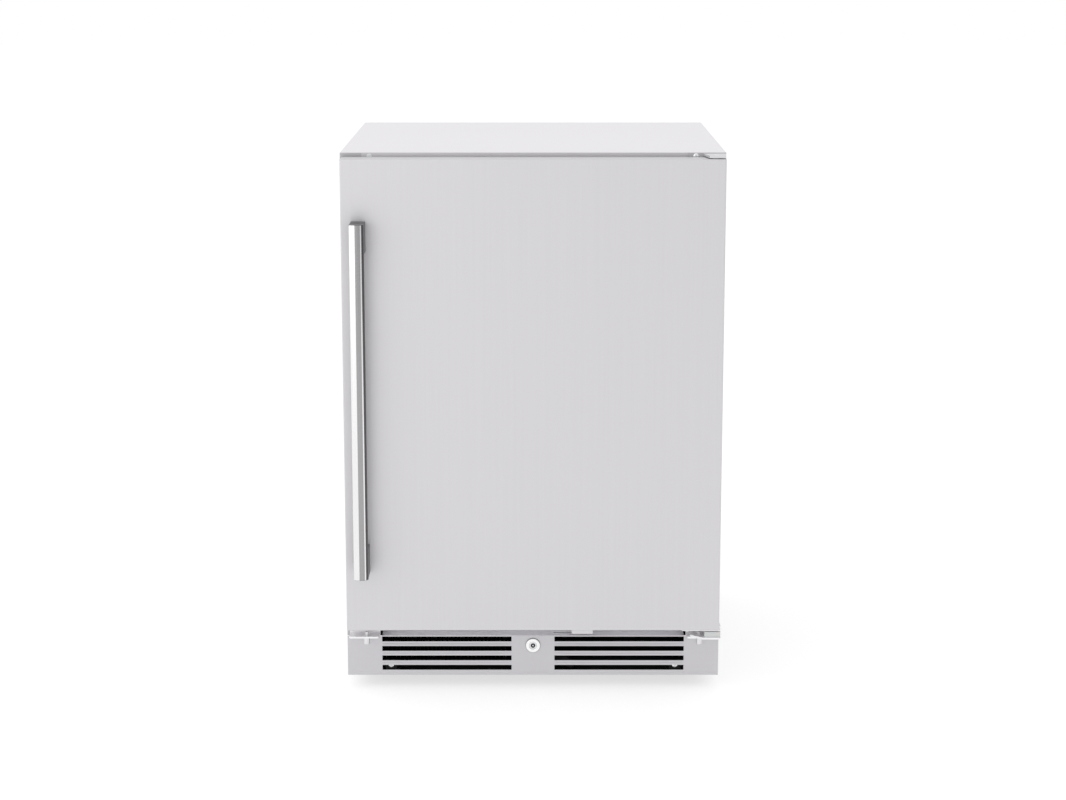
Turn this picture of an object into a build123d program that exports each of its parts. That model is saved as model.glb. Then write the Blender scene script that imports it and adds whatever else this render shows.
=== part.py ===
"""Undercounter refrigerator with a solid stainless door, a front-vented base and a keyed lock.

Millimetres. +Z is up, +X is the viewer's right, and the door faces -Y. The origin is the bottom
centre of the whole object's box, on the floor. "front" is the plane of the cabinet's face flanges.
"""

import os
from math import cos, radians, sin

from build123d import *

os.makedirs("parts", exist_ok=True)

# ------------------------------------------------------------------ driving dimensions
cabinet_width = 595.0
cabinet_height = 860.0
cabinet_depth = 555.0
door_reach = 45.0  # cabinet face to door face
handle_reach = 47.0  # door face to handle face
sheet = 1.2  # folded steel sheet
floor_gap = 20.0  # floor to the underside of the cabinet

overall_depth = cabinet_depth + door_reach + handle_reach
front = door_reach + handle_reach - overall_depth / 2
rear = front + cabinet_depth
half_width = cabinet_width / 2
top = cabinet_height

deck_z = 100.0  # top of the sheet under the insulated box
niche_y = front + 330.0  # rear compressor niche starts here
niche_z = 270.0
flange_in = 33.5  # face flanges reach this far in from the sides

back_face = rear - 2.0  # the rear sheets sit inside the side sheets' edges, so screw heads stay in depth

cavity_half = 250.0
cavity_floor = 140.0
cavity_top = 815.0
cavity_back = front + 485.0
step_y = front + 290.0
step_z = 310.0
cavity_radius = 12.0
liner_wall = 1.6

door_half = 294.5
door_bottom = 108.3
door_top = 854.0
door_face = front - door_reach
skin_back = front - 7.5
door_back = front - 6.0  # gasket seat, 6 mm clear of the cabinet face
door_sheet = 1.0
dike_back = front + 10.0
gasket_gap = 0.3

pivot_x = 280.0
pivot_y = front - 28.0
pin_radius = 4.0
pin_length = 34.0
running_clearance = 0.05
bush_radius = 7.0

leaf_z = (89.0, 92.0)
arm_top = 95.0
bolt_spots = [(side * 265.0, front - 17) for side in (-1, 1)]
upper_plate_z = (855.2, 858.7)

kickplate_top = 86.5
kickplate_half = 297.2
slot_rows = (33.0, 48.8, 64.6, 80.4)
slot_height = 8.2
slot_ends = (34.4, 241.9)
lock_z = 70.0
latch_y = front + 16.0

screw_radius = 2.0
screw_head = 4.8
screw_head_height = 1.7
screw_length = 8.0
hinge_screws = [(251.0, 854.3), (263.0, 845.0)]
hinge_screws += [(255.0, 101.0), (283.0, 101.0), (-255.0, 101.0), (-283.0, 101.0)]
rear_screws = [(x, z) for z in (36, 255) for x in (-288, 0, 288)]
tab_screws = [(-228.0, 36.0), (228.0, 36.0)]
plug_spot = (-252.0, 854.3)


def block(x_range, y_range, z_range, mode=Mode.ADD):
    """A rectangular block between two corners, in the part being built."""
    middle = [(low + high) / 2 for low, high in (x_range, y_range, z_range)]
    size = [high - low for low, high in (x_range, y_range, z_range)]
    with Locations(tuple(middle)):
        Box(*size, mode=mode)


def rod(radius, start, end, mode=Mode.ADD):
    """A round bar from one point to another, in the part being built."""
    path = Vector(*end) - Vector(*start)
    middle = (Vector(*start) + Vector(*end)) / 2
    with Locations(Plane(middle, z_dir=path)):
        Cylinder(radius, path.length, mode=mode)


def screw_holes(spots, start_y):
    """Clearance holes for panel screws that are driven along Y."""
    for x, z in spots:
        rod(screw_radius + 0.1, (x, start_y - 12, z), (x, start_y + 12, z), Mode.SUBTRACT)


# ------------------------------------------------------------------ cabinet sheet metal


def side_panel(side):
    """One side sheet with its face, rear and bottom flanges, and an ear behind the hinge bracket."""
    outer = side * half_width
    inner = side * (half_width - sheet)
    flange_end = side * (half_width - flange_in)
    with BuildPart() as panel:
        block(sorted((inner, outer)), (front, rear), (kickplate_top + 0.5, top - sheet))
        block(sorted((inner, outer)), (front + 1.6, rear), (floor_gap, deck_z))
        block(sorted((flange_end, outer)), (front, front + sheet), (deck_z, top - sheet))
        ear_z = (kickplate_top + 0.5, deck_z - sheet - 0.2)
        block(sorted((side * 244.3, outer)), (front, front + sheet), ear_z)
        block(
            sorted((side * 276, outer)),
            (back_face - 2 * sheet, back_face - sheet),
            (floor_gap, top - sheet),
        )
        block(sorted((side * 276, outer)), (front + 4, rear), (floor_gap, floor_gap + sheet))
        fold = panel.edges().filter_by(Axis.Z).group_by(Axis.Y)[0]
        fillet(fold.sort_by(Axis.X)[-1 if side > 0 else 0], 1.1)
        screw_holes(hinge_screws, front)
        screw_holes(rear_screws, back_face)
    return panel


side_panel_left = side_panel(-1)
side_panel_left.part.label = "side_panel_left"
export_step(side_panel_left.part, "parts/side_panel_left.step")

side_panel_right = side_panel(1)
side_panel_right.part.label = "side_panel_right"
export_step(side_panel_right.part, "parts/side_panel_right.step")

# The top sheet, with a face flange turned down between the side flanges.
with BuildPart() as top_panel:
    block((-half_width, half_width), (front, rear), (top - sheet, top))
    block((-264, 264), (front, front + sheet), (829, top - sheet))
    fillet(top_panel.edges().filter_by(Axis.X).group_by(Axis.Z)[-1].sort_by(Axis.Y)[0], 1.0)
    fillet(top_panel.edges().filter_by(Axis.Y).group_by(Axis.Z)[-1], 0.9)
    screw_holes([*hinge_screws, plug_spot], front)
top_panel.part.label = "top_panel"
export_step(top_panel.part, "parts/top_panel.step")

# The rear sheet, with two shallow stiffening ribs pressed into it.
with BuildPart() as rear_panel:
    block((-296.2, 296.2), (back_face - sheet, back_face), (niche_z, top - sheet))
    with BuildSketch(Plane.XZ.offset(-back_face)):
        with Locations((-130, 560), (130, 560)):
            SlotOverall(420, 22, rotation=90)
    extrude(amount=0.7, mode=Mode.SUBTRACT)
rear_panel.part.label = "rear_panel"
export_step(rear_panel.part, "parts/rear_panel.step")

pass_x = -70.0  # refrigerant lines pass through the insulation here
pass_y = front + 463.0
# The sheet under the insulated box: face flange, deck, riser and the niche's roof, in one fold. A
# strip welded under the deck closes the gap over the kickplate's flange.
with BuildPart() as bottom_deck:
    with BuildSketch(Plane.YZ):
        with BuildLine():
            Polyline(
                (front, deck_z - sheet),
                (niche_y, deck_z - sheet),
                (niche_y, niche_z - sheet),
                (back_face - 2 * sheet, niche_z - sheet),
                (back_face - 2 * sheet, niche_z),
                (niche_y - sheet, niche_z),
                (niche_y - sheet, deck_z),
                (front, deck_z),
                close=True,
            )
        make_face()
    extrude(amount=half_width - sheet - 0.1, both=True)
    block((-264, 264), (front, front + sheet), (deck_z, 126))
    block((-241.8, 241.8), (front + 26.6, front + 26.6 + sheet), (kickplate_top + 0.5, deck_z - sheet))
    rod(8, (pass_x, pass_y, niche_z - 3), (pass_x, pass_y, niche_z + 3), Mode.SUBTRACT)
    screw_holes(hinge_screws, front)
bottom_deck.part.label = "bottom_deck"
export_step(bottom_deck.part, "parts/bottom_deck.step")

# The base tray: a folded pan with four welded nuts for the feet and two tabs behind the kickplate.
foot_spots = [(x, y) for y in (front + 85, front + 500) for x in (-255, 255)]
pan_bottom = floor_gap + sheet
pan_top = pan_bottom + 1.5
with BuildPart() as base_pan:
    block((-296.2, 296.2), (front + 4, back_face - 3), (pan_bottom, pan_top))
    for side in (-1, 1):
        block(sorted((side * 294.7, side * 296.2)), (front + 4, back_face - 3), (pan_top, 46))
        block(sorted((side * 219, side * 237)), (front + 6, front + 7.5), (pan_top, 44))
    screw_holes(tab_screws, front + 6)
    with Locations(*[(x, y, pan_top + 5) for x, y in foot_spots]):
        Cylinder(9, 10)
    with Locations(*[(x, y, pan_top) for x, y in foot_spots]):
        Cylinder(5.05, 30, mode=Mode.SUBTRACT)
base_pan.part.label = "base_pan"
export_step(base_pan.part, "parts/base_pan.step")

# ------------------------------------------------------------------ insulated box


def cavity(grow):
    """The cold space as a solid, with the step over the compressor, grown outwards by a wall."""
    with BuildPart() as space:
        with BuildSketch(Plane.YZ):
            with BuildLine():
                Polyline(
                    (front, cavity_floor - grow),
                    (step_y + grow, cavity_floor - grow),
                    (step_y + grow, step_z - grow),
                    (cavity_back + grow, step_z - grow),
                    (cavity_back + grow, cavity_top + grow),
                    (front, cavity_top + grow),
                    close=True,
                )
            make_face()
        extrude(amount=cavity_half + grow, both=True)
        inner_edges = space.edges().filter_by(lambda edge: edge.center().Y > front + 1)
        fillet(inner_edges, cavity_radius)
    return space.part


# The polyurethane block that fills the shell round the liner.
foam_half = half_width - sheet - 0.1
with BuildPart() as cabinet_foam:
    with BuildSketch(Plane.YZ):
        with BuildLine():
            Polyline(
                (front + sheet, deck_z),
                (niche_y - sheet, deck_z),
                (niche_y - sheet, niche_z),
                (back_face - 2 * sheet, niche_z),
                (back_face - 2 * sheet, top - sheet),
                (front + sheet, top - sheet),
                close=True,
            )
        make_face()
    extrude(amount=foam_half, both=True)
    add(cavity(liner_wall), mode=Mode.SUBTRACT)
    rod(8, (pass_x, pass_y, niche_z - 3), (pass_x, pass_y, step_z + 3), Mode.SUBTRACT)
    screw_holes([*hinge_screws, plug_spot], front)
    screw_holes(rear_screws, back_face)
cabinet_foam.part.label = "cabinet_foam"
export_step(cabinet_foam.part, "parts/cabinet_foam.step")

# The thermoformed liner, with a flange that meets the steel face flanges.
with BuildPart() as inner_liner:
    add(cavity(liner_wall))
    block((-263.5, 263.5), (front, front + sheet), (126.5, 828.5))
    add(cavity(0), mode=Mode.SUBTRACT)
    rod(7, (pass_x, pass_y, step_z - 10), (pass_x, pass_y, step_z + 10), Mode.SUBTRACT)
inner_liner.part.label = "inner_liner"
export_step(inner_liner.part, "parts/inner_liner.step")

# ------------------------------------------------------------------ cold-side air system

cover_face = front + 447.0
fan_z = 400.0
# The air duct cover on the liner's back wall: outlet slots above, a guarded fan opening below.
with BuildPart() as evaporator_cover:
    block((-225, 225), (cover_face, cavity_back), (330, 790))
    fillet(evaporator_cover.edges().filter_by(Axis.Y), 16)
    fillet(evaporator_cover.faces().sort_by(Axis.Y)[0].edges(), 5)
    block((-222, 222), (cover_face + 2.5, cavity_back + 1), (333, 787), Mode.SUBTRACT)
    with BuildSketch(Plane.XZ.offset(-cover_face)):
        with Locations((0, 742)):
            with GridLocations(150, 14, 2, 4):
                SlotOverall(130, 6)
        with Locations((0, fan_z)):
            with PolarLocations(44, 24):
                SlotOverall(13, 5)
            with PolarLocations(28, 16):
                SlotOverall(12, 5)
    extrude(amount=-3, mode=Mode.SUBTRACT)
    block((pass_x - 5, pass_x + 5), (pass_y - 6, cavity_back + 1), (329, 334), Mode.SUBTRACT)
evaporator_cover.part.label = "evaporator_cover"
export_step(evaporator_cover.part, "parts/evaporator_cover.step")

# The evaporator: aluminium fins on six passes of tube, between two end plates.
with BuildPart() as evaporator_coil:
    with Locations((0, front + 467, 605)):
        with GridLocations(15, 1, 25, 1):
            Box(0.8, 24, 200)
    for row in range(6):
        z = 520 + 34 * row
        rod(4, (-190, front + 467, z), (190, front + 467, z))
    for side in (-1, 1):
        block(sorted((side * 188, side * 190)), (front + 455, cavity_back), (505, 705))
evaporator_coil.part.label = "evaporator_coil"
export_step(evaporator_coil.part, "parts/evaporator_coil.step")

# The evaporator fan's motor, on a three-legged bracket against the liner.
with BuildPart() as evaporator_fan_motor:
    rod(17, (0, front + 468, fan_z), (0, cavity_back, fan_z))
    rod(2.5, (0, front + 452, fan_z), (0, front + 468, fan_z))
    with Locations((0, cavity_back - 1.5, fan_z)):
        Box(116, 3, 14)
        Box(14, 3, 116)
evaporator_fan_motor.part.label = "evaporator_fan_motor"
export_step(evaporator_fan_motor.part, "parts/evaporator_fan_motor.step")


def axial_fan(hub_radius, tip_radius, width, blades, bore):
    """A fan wheel on the Z axis: a bored hub with pitched, swept blades."""
    with BuildPart() as fan:
        Cylinder(hub_radius, width)
        fillet(fan.edges().filter_by(GeomType.CIRCLE).group_by(Axis.Z)[-1], 2)
        reach = tip_radius - hub_radius + 3
        with PolarLocations(hub_radius - 3 + reach / 2, blades):
            Box(reach, tip_radius * 0.55, 1.4, rotation=(28, 0, 0))
        Cylinder(tip_radius * 2, width, mode=Mode.INTERSECT)
        Cylinder(bore, width * 2, mode=Mode.SUBTRACT)
    return fan.part


with BuildPart() as evaporator_fan:
    with Locations(Plane((0, front + 459, fan_z), z_dir=(0, -1, 0))):
        add(axial_fan(15, 48, 12, 5, 2.55))
evaporator_fan.part.label = "evaporator_fan"
export_step(evaporator_fan.part, "parts/evaporator_fan.step")

# ------------------------------------------------------------------ shelves, light and controls

pilaster_face = cavity_half - 5.0
pilaster_ys = (front + 60, front + 400)
shelf_levels = (405.0, 600.0)
# Four slotted uprights screwed to the liner's side walls.
with BuildPart() as shelf_pilasters:
    for side in (-1, 1):
        for y in pilaster_ys:
            block(sorted((side * pilaster_face, side * cavity_half)), (y - 9, y + 9), (335, 775))
            with Locations(*[(side * pilaster_face, y, 555 + 25 * slot) for slot in range(-8, 9)]):
                Box(7, 10, 5, mode=Mode.SUBTRACT)
shelf_pilasters.part.label = "shelf_pilasters"
export_step(shelf_pilasters.part, "parts/shelf_pilasters.step")

# Eight bent clips hooked over the uprights, four under each shelf.
with BuildPart() as shelf_clips:
    for level in shelf_levels:
        for side in (-1, 1):
            for y in pilaster_ys:
                across = (y - 6, y + 6)
                block(sorted((side * 226, side * pilaster_face)), across, (level - 7.3, level - 5.3))
                hook = sorted((side * (pilaster_face - 2), side * pilaster_face))
                block(hook, across, (level - 22, level - 5.3))
                block(sorted((side * 226, side * 228)), across, (level - 6, level - 1))
shelf_clips.part.label = "shelf_clips"
export_step(shelf_clips.part, "parts/shelf_clips.step")


def wire_shelf(level):
    """A wire shelf: a bent rim, three cross bars and wires running front to back on top."""
    shelf_half = 240.0
    shelf_front = front + 30
    shelf_back = front + 435
    rim_z = level - 2
    with BuildPart() as shelf:
        with BuildSketch(Plane((0, (shelf_front + shelf_back) / 2, rim_z)), mode=Mode.PRIVATE) as outline:
            RectangleRounded(2 * shelf_half, shelf_back - shelf_front, 14)
        rim = outline.sketch.faces()[0].outer_wire()
        with BuildSketch(Plane(rim @ 0, z_dir=rim % 0)):
            Circle(3)
        sweep(path=rim)
        for y in (shelf_front + 90, (shelf_front + shelf_back) / 2, shelf_back - 90):
            rod(2.5, (-shelf_half, y, rim_z), (shelf_half, y, rim_z))
        for wire in range(19):
            x = (wire - 9) * 25
            rod(1.7, (x, shelf_front - 1, rim_z + 3.6), (x, shelf_back + 1, rim_z + 3.6))
    return shelf


for number, level in enumerate(shelf_levels, start=1):
    shelf = wire_shelf(level)
    shelf.part.label = f"shelf_{number}"
    export_step(shelf.part, f"parts/shelf_{number}.step")

control_face = front + 16.0
button_spots = {"button_warmer": 46.0, "button_cooler": 68.0}
button_z = 800.0
# The control housing under the liner's ceiling, just inside the door.
with BuildPart() as control_housing:
    block((-95, 95), (control_face, control_face + 46), (787, cavity_top))
    fillet(control_housing.edges().filter_by(Axis.Z), 8)
    fillet(control_housing.faces().sort_by(Axis.Z)[0].edges(), 3)
    block((-34, 30), (control_face - 1, control_face + 1.8), (button_z - 9, button_z + 9), Mode.SUBTRACT)
    for x in button_spots.values():
        pocket_z = (button_z - 5.3, button_z + 5.3)
        block((x - 8.3, x + 8.3), (control_face - 1, control_face + 9), pocket_z, Mode.SUBTRACT)
control_housing.part.label = "control_housing"
export_step(control_housing.part, "parts/control_housing.step")

with BuildPart() as control_display:
    block((-33.8, 29.8), (control_face + 0.2, control_face + 1.8), (button_z - 8.8, button_z + 8.8))
control_display.part.label = "control_display"
export_step(control_display.part, "parts/control_display.step")

for name, x in button_spots.items():
    with BuildPart() as button:
        block((x - 8, x + 8), (control_face - 1.4, control_face + 7), (button_z - 5, button_z + 5))
        fillet(button.edges().filter_by(Axis.Y), 2)
        fillet(button.faces().sort_by(Axis.Y)[0].edges(), 0.8)
    button.part.label = name
    export_step(button.part, f"parts/{name}.step")

# The light's diffuser, clipped to the ceiling behind the controls.
with BuildPart() as light_lens:
    block((-90, 90), (front + 120, front + 150), (806, cavity_top))
    fillet(light_lens.edges().filter_by(Axis.Z), 12)
    fillet(light_lens.faces().sort_by(Axis.Z)[0].edges(), 4)
light_lens.part.label = "light_lens"
export_step(light_lens.part, "parts/light_lens.step")

# ------------------------------------------------------------------ machine compartment

compressor_x = 110.0
compressor_y = front + 436.0
# The welded compressor shell with its stub pipes, and the pressed foot plate under it.
with BuildPart() as compressor:
    with BuildSketch(Plane((compressor_x, compressor_y, 0), x_dir=(1, 0, 0), z_dir=(0, -1, 0))):
        with BuildLine():
            shell = [(0, 44), (52, 44), (72, 60), (74, 66), (74, 150), (70, 168), (44, 190), (0, 196)]
            Polyline(*shell, close=True)
        make_face()
        with BuildLine():
            Polyline((0, 50), (50, 50), (67, 64), (68, 150), (64, 165), (41, 184), (0, 189), close=True)
        make_face(mode=Mode.SUBTRACT)
    revolve(axis=Axis((compressor_x, compressor_y, 0), (0, 0, 1)))
    block((compressor_x - 95, compressor_x + 95), (compressor_y - 58, compressor_y + 58), (41, 44.2))
    with Locations((compressor_x, compressor_y, 42)):
        with GridLocations(160, 90, 2, 2):
            Cylinder(8.1, 10, mode=Mode.SUBTRACT)
    rod(5, (compressor_x - 70, compressor_y + 20, 120), (compressor_x - 88, compressor_y + 20, 120))
    rod(5, (compressor_x - 68, compressor_y - 26, 150), (compressor_x - 88, compressor_y - 26, 150))
compressor.part.label = "compressor"
export_step(compressor.part, "parts/compressor.step")

# Four rubber grommets that carry the foot plate, on sleeves from the base tray.
with BuildPart() as compressor_grommets:
    with Locations((compressor_x, compressor_y, 0)):
        with GridLocations(160, 90, 2, 2):
            with Locations((0, 0, (pan_top + 41) / 2)):
                Cylinder(12, 41 - pan_top)
            with Locations((0, 0, 46)):
                Cylinder(8, 10)
            with Locations((0, 0, 40)):
                Cylinder(4, 60, mode=Mode.SUBTRACT)
compressor_grommets.part.label = "compressor_grommets"
export_step(compressor_grommets.part, "parts/compressor_grommets.step")

# The condenser: fins on six passes of tube, behind the left-hand vents.
condenser_y = front + 118.0
with BuildPart() as condenser_coil:
    with Locations((-142, condenser_y, 59)):
        with GridLocations(6.5, 1, 30, 1):
            Box(0.7, 120, 66)
    for column in range(3):
        for z in (42, 74):
            y = condenser_y + (column - 1) * 40
            rod(4, (-240, y, z), (-44, y, z))
    for x in (-240, -45.5):
        block((x, x + 1.5), (condenser_y - 60, condenser_y + 60), (pan_top, 92))
condenser_coil.part.label = "condenser_coil"
export_step(condenser_coil.part, "parts/condenser_coil.step")

# The fan plate behind the condenser, and the divider that keeps warm air out of the intake.
shroud_y = front + 190.0
with BuildPart() as condenser_fan_shroud:
    block((-270, 270), (shroud_y, shroud_y + 2), (pan_top, deck_z - sheet - 0.3))
    block((-12, -10), (front + 60, shroud_y), (pan_top, deck_z - sheet - 0.3))
    rod(35, (-142, shroud_y - 1, 60), (-142, shroud_y + 3, 60), Mode.SUBTRACT)
    with Locations((142, shroud_y, 60)):
        with GridLocations(44, 1, 4, 1):
            Box(34, 6, 56, mode=Mode.SUBTRACT)
condenser_fan_shroud.part.label = "condenser_fan_shroud"
export_step(condenser_fan_shroud.part, "parts/condenser_fan_shroud.step")

with BuildPart() as condenser_fan_motor:
    rod(16, (-142, shroud_y + 22, 60), (-142, shroud_y + 52, 60))
    rod(2.5, (-142, shroud_y + 4, 60), (-142, shroud_y + 22, 60))
    block((-146, -138), (shroud_y + 46, shroud_y + 50), (pan_top, 60))
    block((-160, -124), (shroud_y + 40, shroud_y + 60), (pan_top, pan_top + 2))
condenser_fan_motor.part.label = "condenser_fan_motor"
export_step(condenser_fan_motor.part, "parts/condenser_fan_motor.step")

with BuildPart() as condenser_fan:
    with Locations(Plane((-142, shroud_y + 13, 60), z_dir=(0, -1, 0))):
        add(axial_fan(12, 32, 12, 5, 2.55))
condenser_fan.part.label = "condenser_fan"
export_step(condenser_fan.part, "parts/condenser_fan.step")

# The brazed copper lines: compressor to condenser, condenser to filter drier, evaporator to compressor.
drier_x = -30.0
drier_start = front + 300.0
pipe_routes = [
    [
        (compressor_x - 88, compressor_y + 20, 120),
        (-60, compressor_y + 20, 120),
        (-60, compressor_y + 20, 34),
        (-60, shroud_y + 2, 34),
    ],
    [
        (drier_x, drier_start, 62),
        (drier_x, front + 240, 62),
        (drier_x, front + 240, 32),
        (drier_x, shroud_y + 2, 32),
    ],
    [
        (compressor_x - 88, compressor_y - 26, 150),
        (pass_x, compressor_y - 26, 150),
        (pass_x, pass_y, 150),
        (pass_x, pass_y, 504),
    ],
]
with BuildPart() as refrigerant_tubes:
    with BuildSketch(Plane((drier_x, drier_start, 62), x_dir=(1, 0, 0), z_dir=(0, 0, 1))):
        with BuildLine():
            Polyline((0, 0), (3, 0), (3, 8), (9, 18), (9, 92), (3, 102), (3, 110), (0, 110), close=True)
        make_face()
    revolve(axis=Axis((drier_x, drier_start, 62), (0, 1, 0)))
    for route in pipe_routes:
        with BuildLine() as path:
            FilletPolyline(*route, radius=12)
        with BuildSketch(Plane(path.line @ 0, z_dir=path.line % 0)):
            Circle(3)
        sweep(path=path.line)
refrigerant_tubes.part.label = "refrigerant_tubes"
export_step(refrigerant_tubes.part, "parts/refrigerant_tubes.step")

# The tray on the compressor where meltwater evaporates.
with BuildPart() as drip_tray:
    block((50, 170), (front + 390, front + 500), (196.1, 222))
    fillet(drip_tray.edges().filter_by(Axis.Z), 12)
    fillet(drip_tray.faces().sort_by(Axis.Z)[0].edges(), 4)
    offset(amount=-2, openings=drip_tray.faces().sort_by(Axis.Z)[-1])
drip_tray.part.label = "drip_tray"
export_step(drip_tray.part, "parts/drip_tray.step")

# The control board's box, left of the compressor.
with BuildPart() as electronics_box:
    block((-235, -125), (front + 395, front + 480), (pan_top, 118))
    fillet(electronics_box.edges().filter_by(Axis.Z), 6)
    fillet(electronics_box.faces().sort_by(Axis.Z)[-1].edges(), 3)
    block((-232, -128), (front + 398, front + 477), (pan_top - 1, 115), Mode.SUBTRACT)
electronics_box.part.label = "electronics_box"
export_step(electronics_box.part, "parts/electronics_box.step")

# The rear cover over the machine compartment, with vent slots and a hole for the cord's gland.
gland_x = -215.0
gland_z = 60.0
with BuildPart() as rear_cover:
    block((-296.2, 296.2), (back_face - sheet, back_face), (floor_gap + sheet, niche_z - 0.3))
    with BuildSketch(Plane.XZ.offset(-back_face)):
        with Locations((60, 165)):
            with GridLocations(130, 16, 3, 7):
                SlotOverall(112, 6)
        with Locations((gland_x, gland_z)):
            Circle(8.2)
    extrude(amount=4, both=True, mode=Mode.SUBTRACT)
    screw_holes(rear_screws, back_face)
rear_cover.part.label = "rear_cover"
export_step(rear_cover.part, "parts/rear_cover.step")

# The moulded gland that would grip the supply cord where it enters the rear cover.
with BuildPart() as cord_gland:
    rod(8.0, (gland_x, back_face - 12, gland_z), (gland_x, back_face + 1, gland_z))
    rod(12.0, (gland_x, back_face - 4, gland_z), (gland_x, back_face - sheet, gland_z))
    rod(12.0, (gland_x, back_face, gland_z), (gland_x, back_face + 1.9, gland_z))
    rod(4.2, (gland_x, back_face - 14, gland_z), (gland_x, back_face + 4, gland_z), Mode.SUBTRACT)
cord_gland.part.label = "cord_gland"
export_step(cord_gland.part, "parts/cord_gland.step")

# Four levelling feet: a moulded pad on a threaded stem in the tray's welded nut.
foot_names = ("foot_front_left", "foot_front_right", "foot_rear_left", "foot_rear_right")
for name, (x, y) in zip(foot_names, foot_spots):
    with BuildPart() as foot:
        with Locations((x, y, 3)):
            Cylinder(18, 6)
        fillet(foot.edges().group_by(Axis.Z)[-1], 2)
        with Locations((x, y, 8)):
            Cylinder(9, 5)
        rod(5.0, (x, y, 6), (x, y, 60))
    foot.part.label = name
    export_step(foot.part, f"parts/{name}.step")

# ------------------------------------------------------------------ kickplate and lock

# The front grille: a stainless sheet with four vent slots each side and a flange along its top.
with BuildPart() as kickplate:
    block((-kickplate_half, kickplate_half), (front, front + sheet), (floor_gap + 0.3, kickplate_top))
    block((-241.8, 241.8), (front, front + 26), (kickplate_top - sheet, kickplate_top))
    fillet(kickplate.edges().filter_by(Axis.X).group_by(Axis.Y)[0].sort_by(Axis.Z)[-1], 1.0)
    slot_length = slot_ends[1] - slot_ends[0]
    slot_middle = sum(slot_ends) / 2
    with Locations(*[(side * slot_middle, front, z) for side in (-1, 1) for z in slot_rows]):
        Box(slot_length, 8, slot_height, mode=Mode.SUBTRACT)
    rod(8.1, (0, front - 5, lock_z), (0, front + 5, lock_z), Mode.SUBTRACT)
    block((33, 80), (latch_y - 1.5, latch_y + 4.5), (kickplate_top - 5, kickplate_top + 5), Mode.SUBTRACT)
kickplate.part.label = "kickplate"
export_step(kickplate.part, "parts/kickplate.step")

# The lock's housing: a round bezel on a barrel that passes through the kickplate.
with BuildPart() as lock_body:
    rod(12.0, (0, front - 2.4, lock_z), (0, front, lock_z))
    fillet(lock_body.edges().group_by(Axis.Y)[0], 1.2)
    rod(8.0, (0, front, lock_z), (0, front + 14, lock_z))
    rod(6.0 + running_clearance, (0, front - 5, lock_z), (0, front + 20, lock_z), Mode.SUBTRACT)
lock_body.part.label = "lock_body"
export_step(lock_body.part, "parts/lock_body.step")

with BuildPart() as lock_nut:
    with BuildSketch(Plane((0, front + sheet, lock_z), z_dir=(0, 1, 0))):
        RegularPolygon(12.5, 6)
        Circle(8.05, mode=Mode.SUBTRACT)
    extrude(amount=4)
lock_nut.part.label = "lock_nut"
export_step(lock_nut.part, "parts/lock_nut.step")

# The keyed plug, with the round keyway of a tubular key.
with BuildPart() as lock_plug:
    rod(6.0, (0, front - 2.0, lock_z), (0, latch_y, lock_z))
    rod(3.6, (0, front - 3, lock_z), (0, front + 5, lock_z), Mode.SUBTRACT)
    rod(1.3, (0, front - 2.0, lock_z), (0, front + 5, lock_z))
lock_plug.part.label = "lock_plug"
export_step(lock_plug.part, "parts/lock_plug.step")

# The latch arm on the plug. Unlocked it points down and right; locked it rises through the flange.
latch_rest = radians(-30.7)
latch_reach = 77.0
latch_plane = Plane((0, latch_y + 3, lock_z), x_dir=(cos(latch_rest), 0, sin(latch_rest)), z_dir=(0, -1, 0))
with BuildPart() as lock_latch:
    with BuildSketch(latch_plane):
        with Locations((latch_reach / 2 - 4, 0)):
            RectangleRounded(latch_reach + 8, 12, 2)
    extrude(amount=3)
lock_latch.part.label = "lock_latch"
export_step(lock_latch.part, "parts/lock_latch.step")

# ------------------------------------------------------------------ hinges


def lower_bracket(side):
    """One hinge bracket: a leaf under the door and a flange screwed to the cabinet face."""
    span = sorted((side * 245, side * 293))
    with BuildPart() as bracket:
        block(span, (front - 25, front), leaf_z)
        block(span, (front - 3, front), (leaf_z[0], 106.5))
        fillet(bracket.edges().filter_by(Axis.Z).group_by(Axis.Y)[0], 4)
        for x, y in bolt_spots:
            rod(3.05, (x, y, 80), (x, y, 100), Mode.SUBTRACT)
        screw_holes(hinge_screws, front)
    return bracket


hinge_bracket_left = lower_bracket(-1)
hinge_bracket_left.part.label = "hinge_bracket_left"
export_step(hinge_bracket_left.part, "parts/hinge_bracket_left.step")

hinge_bracket_right = lower_bracket(1)
hinge_bracket_right.part.label = "hinge_bracket_right"
export_step(hinge_bracket_right.part, "parts/hinge_bracket_right.step")

# The arm bolted on the right bracket, which carries the lower pivot pin.
with BuildPart() as hinge_arm:
    with BuildSketch(Plane.XY.offset(leaf_z[1])):
        with BuildLine():
            Polyline(
                (250, front - 4),
                (292, front - 4),
                (297.5, front - 20),
                (297.5, front - 40),
                (270, front - 40),
                (250, front - 24),
                close=True,
            )
        make_face()
        with Locations(bolt_spots[1]):
            Circle(3.05, mode=Mode.SUBTRACT)
        with Locations((pivot_x, pivot_y)):
            Circle(pin_radius + running_clearance, mode=Mode.SUBTRACT)
    extrude(amount=arm_top - leaf_z[1])
hinge_arm.part.label = "hinge_arm"
export_step(hinge_arm.part, "parts/hinge_arm.step")

# The nylon spacer round the lower pin, wedge-shaped towards the cabinet's side.
with BuildPart() as hinge_spacer:
    with BuildSketch(Plane.XY.offset(arm_top)):
        with BuildLine():
            Polyline(
                (272, front - 18),
                (290, front - 16),
                (297.3, front - 22),
                (297.3, front - 38),
                (272, front - 38),
                close=True,
            )
        make_face()
        with Locations((pivot_x, pivot_y)):
            Circle(pin_radius + running_clearance, mode=Mode.SUBTRACT)
    extrude(amount=9)
    fillet(hinge_spacer.edges().filter_by(Axis.Z).group_by(Axis.X)[-1], 1.5)
hinge_spacer.part.label = "hinge_spacer"
export_step(hinge_spacer.part, "parts/hinge_spacer.step")

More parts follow.
